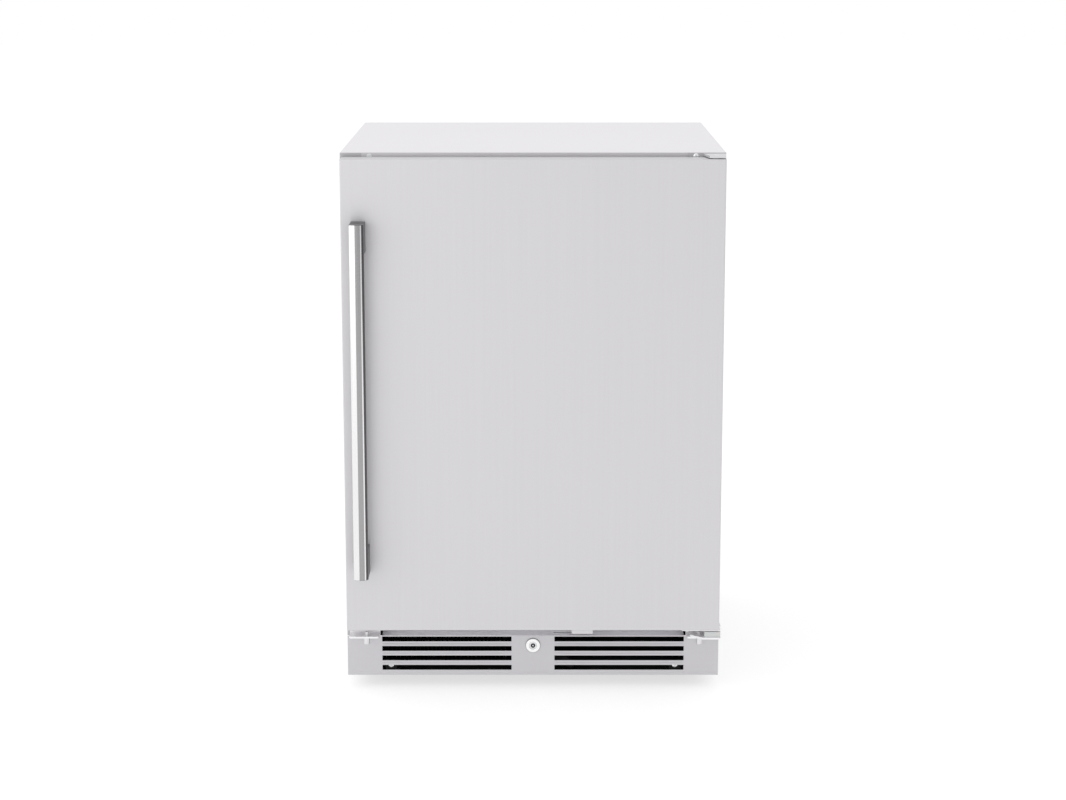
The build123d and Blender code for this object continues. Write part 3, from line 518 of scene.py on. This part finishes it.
material, place = begin("button_rubbery_plastic")
worn = place.noise(400.0, 3.0)
button_plastic = complete(
    material,
    place,
    base_color=worn.blend((0.10, 0.102, 0.106), (0.15, 0.152, 0.156)),
    roughness=worn * 0.12 + 0.45,
    height=worn,
    depth=0.00003,
)
dress(button_plastic, "button_warmer", "button_cooler")

material, place = begin("frosted_diffuser")
frost = place.noise(700.0, 2.0)
diffuser = complete(
    material,
    place,
    base_color=frost.blend((0.84, 0.86, 0.87), (0.92, 0.93, 0.94)),
    roughness=frost * 0.1 + 0.5,
    height=frost,
    depth=0.00005,
    subsurface_weight=0.2,
)
dress(diffuser, "light_lens")

# ------------------------------------------------------------------ compressor and its surroundings
# A drawn steel shell of two halves welded at a flange, enamelled black, on a pressed foot plate
# and four rubber grommets. The tray under it, the condenser and the latch are painted matt black,
# and the tray's and condenser's near-black is also painted shade that keeps the vent slots dark.
material, place = begin("black_enamel")
run_marks = place.stretched((30, 30, 6)).noise(1.0, 3.0)
enamel = complete(
    material,
    place,
    base_color=run_marks.blend((0.010, 0.010, 0.011), (0.022, 0.022, 0.023)),
    roughness=run_marks * 0.12 + 0.35,
    height=run_marks,
    depth=0.0003,
    coat_weight=0.1,
    coat_roughness=0.3,
)
material, place = begin("black_paint_and_slot_shade")
settled = place.noise(160.0, 4.0)
black_paint_and_shade = complete(
    material,
    place,
    base_color=settled.blend((0.006, 0.006, 0.0065), (0.014, 0.014, 0.0145)),
    roughness=settled * 0.2 + 0.7,
    height=settled,
    depth=0.00006,
    specular_ior_level=0.2,
)
# The near-black on the condenser, its shroud and the base pan is partly painted shade that keeps the vent
# slots dark.
dress(black_paint_and_shade, "condenser_coil", "condenser_fan_shroud", "base_pan", "lock_latch")
low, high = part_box("compressor")
pump_x = high.x - 95 * MM
pump_y = low.y + 74 * MM
bowl = [(0, 44), (52, 44), (70, 58), (73.5, 66), (73.5, 112)]
flange = [(76, 113), (76, 117)]
dome = [(73.5, 118), (73.5, 150), (69, 168), (44, 190), (0, 195.8)]
shell = np.array(bowl + flange + dome) * MM
pump = [lathe(softened(shell, 9 * MM, 7), (pump_x, pump_y, 0), (0, 0, 1), 72)]
for y, z in ((20, 120), (-26, 150)):
    stub = [(pump_x - 66 * MM, pump_y + y * MM, z * MM), (pump_x - 88 * MM, pump_y + y * MM, z * MM)]
    pump.append(tube(stub, 5 * MM, 20))
outline = rounded_loop((pump_x - 95 * MM, pump_x + 95 * MM), (pump_y - 58 * MM, pump_y + 58 * MM), 14 * MM)
pump.append(slab(outline, (41 * MM, 44.2 * MM), 0.8 * MM))
merged("compressor_shell", pump, enamel, stands_for=("compressor",))

material, place = begin("black_rubber")
grit = place.noise(900.0, 3.0)
rubber = complete(
    material,
    place,
    base_color=grit.blend((0.012, 0.012, 0.012), (0.035, 0.034, 0.033)),
    roughness=grit * 0.15 + 0.7,
    height=grit,
    depth=0.0001,
)
low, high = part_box("compressor_grommets")
base = low.z
tall = (high.z - low.z) / MM
seat = 41 - base / MM
foot = [(4, 0), (12, 0), (12, 5), (9.5, 9), (12, 13), (12, seat)]
neck = [(8, seat), (8, tall), (4, tall), (4, 0)]
mount = np.array(foot + neck) * MM
grids = []
for x in (low.x + 12 * MM, high.x - 12 * MM):
    for y in (low.y + 12 * MM, high.y - 12 * MM):
        grids.append(lathe(softened(mount, 1.0 * MM), (x, y, base), (0, 0, 1), 28))
merged("rubber_mounts", grids, rubber, stands_for=("compressor_grommets",))

# ------------------------------------------------------------------ cord gland
# A ribbed rubber gland where the supply cord would enter. A groove round it grips the edge of the
# hole in the rear cover.
low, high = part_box("cord_gland")
centre = ((low.x + high.x) / 2, low.y, (low.z + high.z) / 2)
deep = (high.y - low.y) / MM
inside = [(4.2, 0), (7.9, 0), (7.9, 8.0), (11.9, 8.0), (11.9, 10.8), (7.9, 10.8), (7.9, deep - 1.9)]
outside = [(11.9, deep - 1.9), (10.5, deep), (4.2, deep), (4.2, 0)]
collar = lathe(softened(np.array(inside + outside) * MM, 0.5 * MM, 3), centre, (0, 1, 0), 32)
merged("ribbed_gland", [collar], rubber, stands_for=("cord_gland",))

# ------------------------------------------------------------------ levelling feet
# A black moulded pad with a raised boss on a zinc-plated threaded stem, screwed into the tray.
# Turning the pad levels the cabinet.
material, place = begin("foot_finish")
scuff = place.noise(300.0, 4.0)
is_stem = place.beyond(10.6 * MM, 2)
moulded = scuff.blend((0.012, 0.012, 0.013), (0.05, 0.05, 0.05))
plated = scuff.blend((0.55, 0.56, 0.54), (0.75, 0.75, 0.72))
foot_finish = complete(
    material,
    place,
    base_color=is_stem.blend(moulded, plated),
    metallic=is_stem,
    roughness=scuff * 0.2 + 0.5 - is_stem * 0.25,
    height=scuff,
    depth=0.00005,
)
thread_turns = 32
thread_ends = (11.5, 59.0)
teeth = np.arange(2 * thread_turns + 1)
levels = thread_ends[0] + teeth * (thread_ends[1] - thread_ends[0]) / (2 * thread_turns)
thread = np.stack([np.where(teeth % 2, 4.98, 4.35), levels], axis=1)
pad = np.array([(0, 0), (16.5, 0), (18, 1.5), (18, 4.2), (16.4, 6), (9, 6), (9, 10.4), (4.6, 10.5)])
for name in ("foot_front_left", "foot_front_right", "foot_rear_left", "foot_rear_right"):
    low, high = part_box(name)
    centre = ((low.x + high.x) / 2, (low.y + high.y) / 2, 0.0)
    profile = np.vstack([softened(pad, 1.0, 4), thread, [(4.0, 60.0), (0, 60.0)]]) * MM
    merged(f"{name}_turned", [lathe(profile, centre, (0, 0, 1), 36)], foot_finish, name, stands_for=(name,))

# ------------------------------------------------------------------ kickplate
# One stainless sheet with four vent slots each side. The blades between the slots are creased to
# stiffen them, the bottom is hemmed, and a flange is folded back along the top.
low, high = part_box("kickplate")


def flange_top_painted_light(place):
    """1 on the flange along the kickplate's top, which is lightened as painted light on the flange shaded
    by the door.
    """
    return place.beyond(high.z - 0.7 * MM, 2)


# The top flange gets 1.62 times the tone: painted light on the flange, which lies in shade under the door.
plate_steel = brushed_steel(
    "kickplate_steel", "x", (0.575, 0.565, 0.585), metallic=0.65, painted_part=flange_top_painted_light, painted_share=1.62
)
gauge = 1.2 * MM
slot_middles = np.array([33.0, 48.8, 64.6, 80.4]) * MM
slot_half = 8.2 / 2 * MM
slot_inner, slot_outer = 34.4 * MM, 241.9 * MM
lock_z = 70.0 * MM
patch = 11.0 * MM


def spread(x, y, z):
    """A grid of places from three arrays, each stretched to the shape of all three."""
    return np.stack(np.broadcast_arrays(x, y, z), axis=2)


crease = 1.4 * MM
blade_middles = (slot_middles[:-1] + slot_middles[1:]) / 2
hem = low.z + 4.2 * MM
x_steps = [-slot_outer, -slot_inner, -patch, patch, slot_inner, slot_outer]
x_steps += [s * (e + d) for s in (-1, 1) for e in (slot_inner, slot_outer) for d in (-3 * MM, 3 * MM)]
x = np.unique(np.round([low.x, high.x, *x_steps], 6))
z_steps = [lock_z - patch, lock_z + patch, hem - 0.8 * MM, hem, hem + 0.8 * MM]
z_steps += [m + d for m in slot_middles for d in (-slot_half, slot_half)]
z_steps += [m + d for m in blade_middles for d in (-crease, 0, crease)]
z = np.unique(np.round([low.z, high.z - 1.1 * MM, *z_steps], 6))


def sunk(x, z):
    """How far the sheet is pressed in: a V at each blade's middle, fading at the slots' ends, and
    one along the hem. Each V is depth * (1 - distance / half width), never below nought."""
    across = np.abs(x)[None, :]
    fade = np.clip(np.minimum(across - slot_inner, slot_outer - across) / (3 * MM), 0, 1)
    near = np.min(np.abs(z[:, None] - blade_middles[None, :]), axis=1)[:, None]
    blade = 0.8 * MM * np.clip(1 - near / crease, 0, 1) * fade
    fold = 0.3 * MM * np.clip(1 - np.abs(z[:, None] - hem) / (0.8 * MM), 0, 1)
    return blade + fold


def solid_sheet(x_mid, z_mid):
    """True where the sheet isn't cut by a vent slot or by the square round the lock."""
    in_row = np.abs(z_mid[..., None] - slot_middles).min(-1) < slot_half
    in_slot = in_row & (np.abs(x_mid) > slot_inner) & (np.abs(x_mid) < slot_outer)
    in_patch = (np.abs(x_mid) < patch) & (np.abs(z_mid - lock_z) < patch)
    return ~(in_slot | in_patch)


panel = spread(x[None, :], low.y + sunk(x, z), z[:, None])
angle = np.linspace(0, 2 * np.pi, 64, endpoint=False)
square = patch / np.maximum(np.abs(np.cos(angle)), np.abs(np.sin(angle)))
reach = np.stack([square, np.full(64, 9.0 * MM), np.full(64, 8.1 * MM)])
hole = spread(reach * np.cos(angle), low.y, lock_z + reach * np.sin(angle))

# The flange: a bend of bend_radius, then flat to the rear, with a slot where the latch rises.
bend_radius = 1.1 * MM
flange_half = 241.8 * MM
latch_slot_x = (33 * MM, 80 * MM)
latch_slot_y = (low.y + 14.5 * MM, low.y + 20.5 * MM)
t = np.linspace(0, np.pi / 2, 6)
bend_x = np.array([-flange_half, *latch_slot_x, flange_half])
bend_y = np.concatenate([low.y + bend_radius * (1 - np.cos(t)), [*latch_slot_y, high.y]])
bend_z = np.concatenate([high.z - bend_radius * (1 - np.sin(t)), [high.z] * 3])
fold = spread(bend_x[None, :], bend_y[:, None], bend_z[:, None])
ear_z = np.array([high.z - bend_radius, high.z])
left_ear = spread(np.array([[low.x, -flange_half]]), low.y, ear_z[:, None])
right_ear = spread(np.array([[flange_half, high.x]]), low.y, ear_z[:, None])

points, faces, start = [], [], 0
for grid, wraps in ((panel, False), (hole, True), (fold, False), (left_ear, False), (right_ear, False)):
    quads = quads_of(grid, start, False, wraps)
    if grid is panel:
        kept = solid_sheet((x[None, :-1] + x[None, 1:]) / 2, (z[:-1, None] + z[1:, None]) / 2)
    else:
        kept = np.ones(quads.shape[:2], dtype=bool)
    if grid is fold:
        kept[len(t), 1] = False
    points.append(grid.reshape(-1, 3))
    faces.append(quads[kept])
    start += len(points[-1])
kickplate = finished("kickplate_sheet", points, faces, plate_steel, None, False, ("kickplate",))
thicken = kickplate.modifiers.new("gauge", "SOLIDIFY")
thicken.thickness = gauge
thicken.offset = -1.0

# ------------------------------------------------------------------ lock
# A plated cam lock: a domed bezel and barrel through the kickplate, and a plug with the ring-shaped
# keyway of a tubular key. The plug turns the latch arm behind the sheet.


def from_lock_axis(place):
    """How far the place is from the line the lock turns about."""
    settings = {"Vector": place, "Location": (0.0, 0.0, -lock_z), "Scale": (1.0, 0.0, 1.0)}
    across = place.node("ShaderNodeMapping", None, settings)
    return place.node("ShaderNodeVectorMath", {"operation": "LENGTH"}, {0: across}, 1)


material, place = begin("white_nickel")
cloud = place.noise(90.0, 3.0)
# The bezel's outer skirt, past 11.35 mm from the axis, is painted dark as the shade round its rounded edge.
bezel_rim_painted_shade = from_lock_axis(place).math("GREATER_THAN", 11.35 * MM)
white_nickel = complete(
    material,
    place,
    base_color=bezel_rim_painted_shade.blend(cloud.blend((0.93, 0.93, 0.93), (0.97, 0.97, 0.97)), (0.24, 0.24, 0.245)),
    metallic=0.6,
    roughness=cloud * 0.1 + 0.2,
    height=cloud,
    depth=0.00002,
)
low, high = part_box("lock_body")
centre = (0.0, low.y, lock_z)
deep = (high.y - low.y) / MM
face = [(6.06, 0.5), (6.6, 0), (10.8, 0.1), (12.0, 1.2), (12.0, 2.35), (8.0, 2.4)]
bezel = face + [(8.0, deep), (6.06, deep), (6.06, 0.5)]
housing = lathe(softened(np.array(bezel) * MM, 0.5 * MM, 4), centre, (0, 1, 0), 64)
merged("lock_bezel", [housing], white_nickel, stands_for=("lock_body",))

material, place = begin("lock_plug_metal")
scratched = place.noise(800.0, 4.0, 0.7)
off_axis = from_lock_axis(place)
# The ring of the keyway is painted near black, and made rough, as the shade inside its recess.
keyway_painted_shade = off_axis.math("GREATER_THAN", 1.35 * MM) * off_axis.math("LESS_THAN", 3.55 * MM)
plug_metal = complete(
    material,
    place,
    base_color=keyway_painted_shade.blend((0.72, 0.73, 0.74), (0.02, 0.02, 0.02)),
    metallic=1.0 - keyway_painted_shade * 0.6,
    roughness=scratched * 0.2 + 0.1 + keyway_painted_shade * 0.3,
    height=scratched,
    depth=0.00002,
)
low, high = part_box("lock_plug")
deep = (high.y - low.y) / MM
pin = [(0, 0.0), (1.0, 0.0), (1.3, 0.3), (1.3, 7.0)]
bore = [(3.6, 7.0), (3.6, 0.25), (3.85, 0.0)]
rim = [(5.7, 0.0), (6.0, 0.3), (6.0, deep), (0, deep)]
plug = lathe(np.array(pin + bore + rim) * MM, (0.0, low.y, lock_z), (0, 1, 0), 64)
merged("lock_plug_turned", [plug], plug_metal, "lock", stands_for=("lock_plug",))

# ------------------------------------------------------------------ screws and hole plug
# Plated pan-head screws with a cross recess hold the hinges, the rear cover and the kickplate's
# tabs. A white nylon plug fills the spare hole on the hinge's other side.
hinge_spots = [(0.251, 0.8543), (0.263, 0.845)]
hinge_spots += [(0.255, 0.101), (0.283, 0.101), (-0.255, 0.101), (-0.283, 0.101)]
rear_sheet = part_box("rear_cover")[1].y
screws = [(x, FRONT - 3 * MM, z, -1) for x, z in hinge_spots]
screws += [(x, rear_sheet, z, 1) for z in (0.036, 0.255) for x in (-0.288, 0.0, 0.288)]
screws += [(x, FRONT + 6 * MM, 0.036, -1) for x in (-0.228, 0.228)]
grids = []
for number, (x, y, z, out) in enumerate(screws):
    turn = np.linspace(0, 2 * np.pi, 32, endpoint=False)
    across = np.array([0, 0.6, 1.1, 1.6, 2.2, 3.0, 3.9, 4.5, 4.8, 4.8])[:, None] * MM
    dome = np.array([1.7, 1.7, 1.69, 1.66, 1.6, 1.5, 1.3, 0.95, 0.5, 0.0])[:, None] * MM
    arm = np.minimum(np.abs(np.sin(turn + number)), np.abs(np.cos(turn + number)))[None, :] * across
    recess = 1.1 * MM * np.clip(1 - arm / (0.55 * MM), 0, 1) * (across < 2.3 * MM)
    head = spread(x + across * np.cos(turn), y + out * (dome - recess), z + across * np.sin(turn))
    grids.append((head, False, True))
    grids.append(tube([(x, y + out * 0.1 * MM, z), (x, y - out * 8 * MM, z)], 2 * MM, 16))
merged("cross_head_screws", grids, bright_plating, stands_for=("panel_screws",))


def nylon(name, tone):
    """Moulded nylon: a slightly waxy surface with faint clouds."""
    material, place = begin(name)
    waxy = place.noise(120.0, 3.0)
    return complete(
        material,
        place,
        base_color=waxy.blend([c * 0.94 for c in tone], tone),
        roughness=waxy * 0.15 + 0.35,
        height=waxy,
        depth=0.00006,
        subsurface_weight=0.1,
    )


dress(nylon("white_nylon", (0.86, 0.86, 0.85)), "hole_plug", "door_bushes")
dress(nylon("grey_nylon", (0.66, 0.655, 0.65)), "hinge_spacer")

# ------------------------------------------------------------------ hinges
# Pressed stainless brackets and arm with round-headed bolts under them. The upper hinge's flange,
# which lies on the cabinet's face, is darkened as painted shade in the gap above the door, and the
# lower brackets and arm are a paler copy of the steel, painted light on their shaded leaves.


def hinge_flange_shade(place):
    """1 on the flange that lies on the cabinet's face, which is darkened as painted shade, and 0 on the
    plate over the door.
    """
    return place.beyond(FRONT - 3.1 * MM, 1)


hinge_steel = brushed_steel("hinge_steel", "x", (0.70, 0.69, 0.71), painted_part=hinge_flange_shade)
dress(hinge_steel, "upper_hinge")
# The brackets and arm are a paler, less metallic copy of the hinge steel: painted light on their leaves in
# the shade under the door.
bracket_steel = brushed_steel("bracket_steel", "x", (0.88, 0.87, 0.885), metallic=0.6)
dress(bracket_steel, "hinge_bracket_left", "hinge_bracket_right", "hinge_arm", "door_corner_plate")
bolt_steel = brushed_steel("bolt_steel", "z", (0.74, 0.735, 0.745), roughness=0.35)
dress(bolt_steel, "hinge_bolts")

# ------------------------------------------------------------------ door
# A folded stainless skin over foam, closed at the back by the white inner panel. The front is
# brushed top to bottom, like the side sheets.
door_steel = brushed_steel("door_steel", "z", (0.642, 0.632, 0.649))
dress(door_steel, "door_skin", "strike_bracket")

# A soft grey magnetic gasket pushed into the inner panel's border: a fin, a bellows and the tube
# that holds the magnet, carried round the door as one frame.
material, place = begin("gasket_vinyl")
talc = place.noise(150.0, 4.0)
vinyl = complete(
    material,
    place,
    base_color=talc.blend((0.16, 0.16, 0.165), (0.24, 0.24, 0.245)),
    roughness=talc * 0.15 + 0.55,
    height=talc,
    depth=0.0001,
)
low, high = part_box("door_gasket")
outer_edge = [(0.2, 0.0), (0.2, 1.1), (1.4, 1.5), (1.4, 2.3), (0.0, 2.9), (0.0, 5.2), (0.6, 5.7)]
inner_edge = [(17.2, 5.7), (18.0, 5.2), (18.0, 2.9), (16.4, 2.3), (16.4, 1.5), (17.8, 1.1), (17.8, 0.0)]
section = softened(np.array(outer_edge + inner_edge) * MM, 0.4 * MM, 3)
corner = 22 * MM
loops = []
for inset in section[:, 0]:
    x_range, z_range = (low.x + inset, high.x - inset), (low.z + inset, high.z - inset)
    loops.append(rounded_loop(x_range, z_range, corner - inset, 8))
loops = np.array(loops)
grid = spread(loops[..., 0], low.y + section[:, 1:], loops[..., 1])
merged("gasket_frame", [(grid, True, True)], vinyl, "door", stands_for=("door_gasket",))

# ------------------------------------------------------------------ handle
# A satin stainless bar with a gently bowed face, on two square mounts. Screws from inside the door
# pull the mounts tight, and the bar is pinned to them.
low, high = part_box("handle_bar")


def bar_sides_painted_dark(place):
    """1 on the bar's right arris, back and ends, which are painted near black as shade, and 0 on its bowed
    face.
    """
    low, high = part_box("handle_bar")
    ends = place.beyond(high.z - 0.5 * MM, 2) + 1 - place.beyond(low.z + 0.5 * MM, 2)
    return (place.beyond(low.y + 4.2 * MM, 1) + place.beyond(high.x - 3.2 * MM, 0) + ends).clamp()


material, place = begin("handle_face_steel")
hairline = place.stretched((900, 900, 4)).noise(1.0, 3.0)
worn = place.noise(14.0, 4.0)
# Painted light and shade on the bar: a pale band on the left stands for the key light's highlight, the rest
# of the face is a grey painted reflection of the greyer right, a bright line by the right arris is a
# painted highlight, and the sides, back and ends are painted near black as shade.
right_of_painted_highlight = place.beyond(low.x + 9.4 * MM, 0)
arris = place.beyond(high.x - 5.0 * MM, 0)
painted_highlight_and_shade = right_of_painted_highlight.blend((0.90, 0.895, 0.90), (0.36, 0.355, 0.362))
painted_highlight_and_shade = arris.blend(painted_highlight_and_shade, (0.95, 0.94, 0.95))
painted_highlight_and_shade = bar_sides_painted_dark(place).blend(painted_highlight_and_shade, (0.07, 0.068, 0.07))
handle_steel = complete(
    material,
    place,
    base_color=(hairline * 0.25 + worn * 0.1).blend(painted_highlight_and_shade, (0.40, 0.395, 0.40)),
    metallic=1.0,
    roughness=hairline * 0.12 + worn * 0.1 + 0.16,
    height=hairline,
    depth=0.00001,
)
# The mounts' steel is near black: painted shade for the dark sides they show beside the bar.
mount_steel = brushed_steel("handle_mount_steel", "z", (0.11, 0.11, 0.112), roughness=0.4)
half = (high.x - low.x) / 2
middle = (low.x + high.x) / 2
bow = 3 * MM
corner = 1.6 * MM
arris_width = 3.2 * MM
u = np.linspace(-1, 0.76, 23)
face = np.stack([middle + (half - corner * 0.6) * u, low.y + bow * u**2], axis=1)
right = [(high.x, low.y + bow + arris_width), (high.x, high.y - corner), (high.x - corner, high.y)]
left = [(low.x + corner, high.y), (low.x, high.y - corner), (low.x, low.y + bow + corner)]
outline = np.vstack([face, right, left])
outline = softened(np.vstack([outline, outline[:1]]), 0.9 * MM, 3)[:-1]
bar = slab(outline, (low.z, high.z), 0.8 * MM)
merged("handle_bar_bowed", [bar], handle_steel, "door", stands_for=("handle_bar",))

low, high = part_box("handle_mounts")
tall = 47 * MM
grids = []
for base in (low.z, high.z - tall):
    outline = rounded_loop((low.x, high.x), (base, base + tall), 1.8 * MM, 5)
    grids.append(slab(outline, (low.y, high.y), 0.4 * MM, (0, 2, 1)))
merged("handle_mount_blocks", grids, mount_steel, "door", stands_for=("handle_mounts",))
dress(bright_plating, "handle_screws")

# ------------------------------------------------------------------ studio
# A white floor that glows a little, so that shadows stay faint, a white surround that is greyer to
# the right, and two soft lights, from the front left and from above.
material, place = begin("studio_floor")
paper = place.noise(3.0, 2.0)
floor_paint = complete(
    material,
    place,
    base_color=paper.blend((0.42, 0.42, 0.42), (0.44, 0.44, 0.44)),
    roughness=1.0,
    specular_ior_level=0.0,
    emission_color=(1.0, 1.0, 1.0, 1.0),
    emission_strength=0.68,
)
mesh = bpy.data.meshes.new("floor")
mesh.from_pydata([(-20, -20, 0), (20, -20, 0), (20, 20, 0), (-20, 20, 0)], [], [(0, 1, 2, 3)])
mesh.materials.append(floor_paint)
floor = bpy.data.objects.new("floor", mesh)
bpy.context.scene.collection.objects.link(floor)

world = bpy.data.worlds.new("surround")
world.use_nodes = True
tree = world.node_tree
tree.nodes.clear()
towards = Signal(tree, tree.nodes.new("ShaderNodeTexCoord").outputs["Generated"])
rightward = towards.node("ShaderNodeSeparateXYZ", None, {"Vector": towards}, 0)
ramp = {"Value": rightward, "From Min": 0.0, "From Max": 0.9}
greyer = towards.node("ShaderNodeMapRange", {"interpolation_type": "SMOOTHSTEP"}, ramp)
glow = greyer.blend((0.95, 0.95, 0.95), (0.55, 0.55, 0.555))
seen = towards.node("ShaderNodeLightPath")
surround = {"Color": seen.blend(glow, (1.0, 1.0, 1.0)), "Strength": 1.0}
shade = towards.node("ShaderNodeBackground", None, surround)
tree.links.new(shade.socket, tree.nodes.new("ShaderNodeOutputWorld").inputs["Surface"])
bpy.context.scene.world = world
bpy.context.scene.view_settings.view_transform = "Standard"


def soft_light(name, place, size, power):
    """A rectangular area light at a place, turned to face the middle of the cabinet."""
    lamp = bpy.data.lights.new(name, "AREA")
    lamp.shape = "RECTANGLE"
    lamp.size, lamp.size_y = size
    lamp.energy = power
    light = bpy.data.objects.new(name, lamp)
    light.location = place
    light.rotation_euler = (Vector((0, 0, 0.43)) - Vector(place)).to_track_quat("-Z", "Y").to_euler()
    light.visible_camera = False
    bpy.context.scene.collection.objects.link(light)


soft_light("key", (-2.1, -2.6, 1.5), (3.0, 2.4), 16)
soft_light("overhead", (0.0, 0.6, 3.6), (3.6, 3.6), 7)

# The camera stands 3.6 m in front of the cabinet's face, at chest height, and looks down on it.
camera_data = bpy.data.cameras.new("camera")
camera = bpy.data.objects.new("camera", camera_data)
bpy.context.scene.collection.objects.link(camera)
camera.location = (0.0, FRONT - 3.6, 1.204)
camera.rotation_euler = (math.radians(90 - 11.5), 0, 0)
camera_data.sensor_width = 36.0
camera_data.lens = 79.0
camera_data.clip_end = 100.0
bpy.context.scene.camera = camera
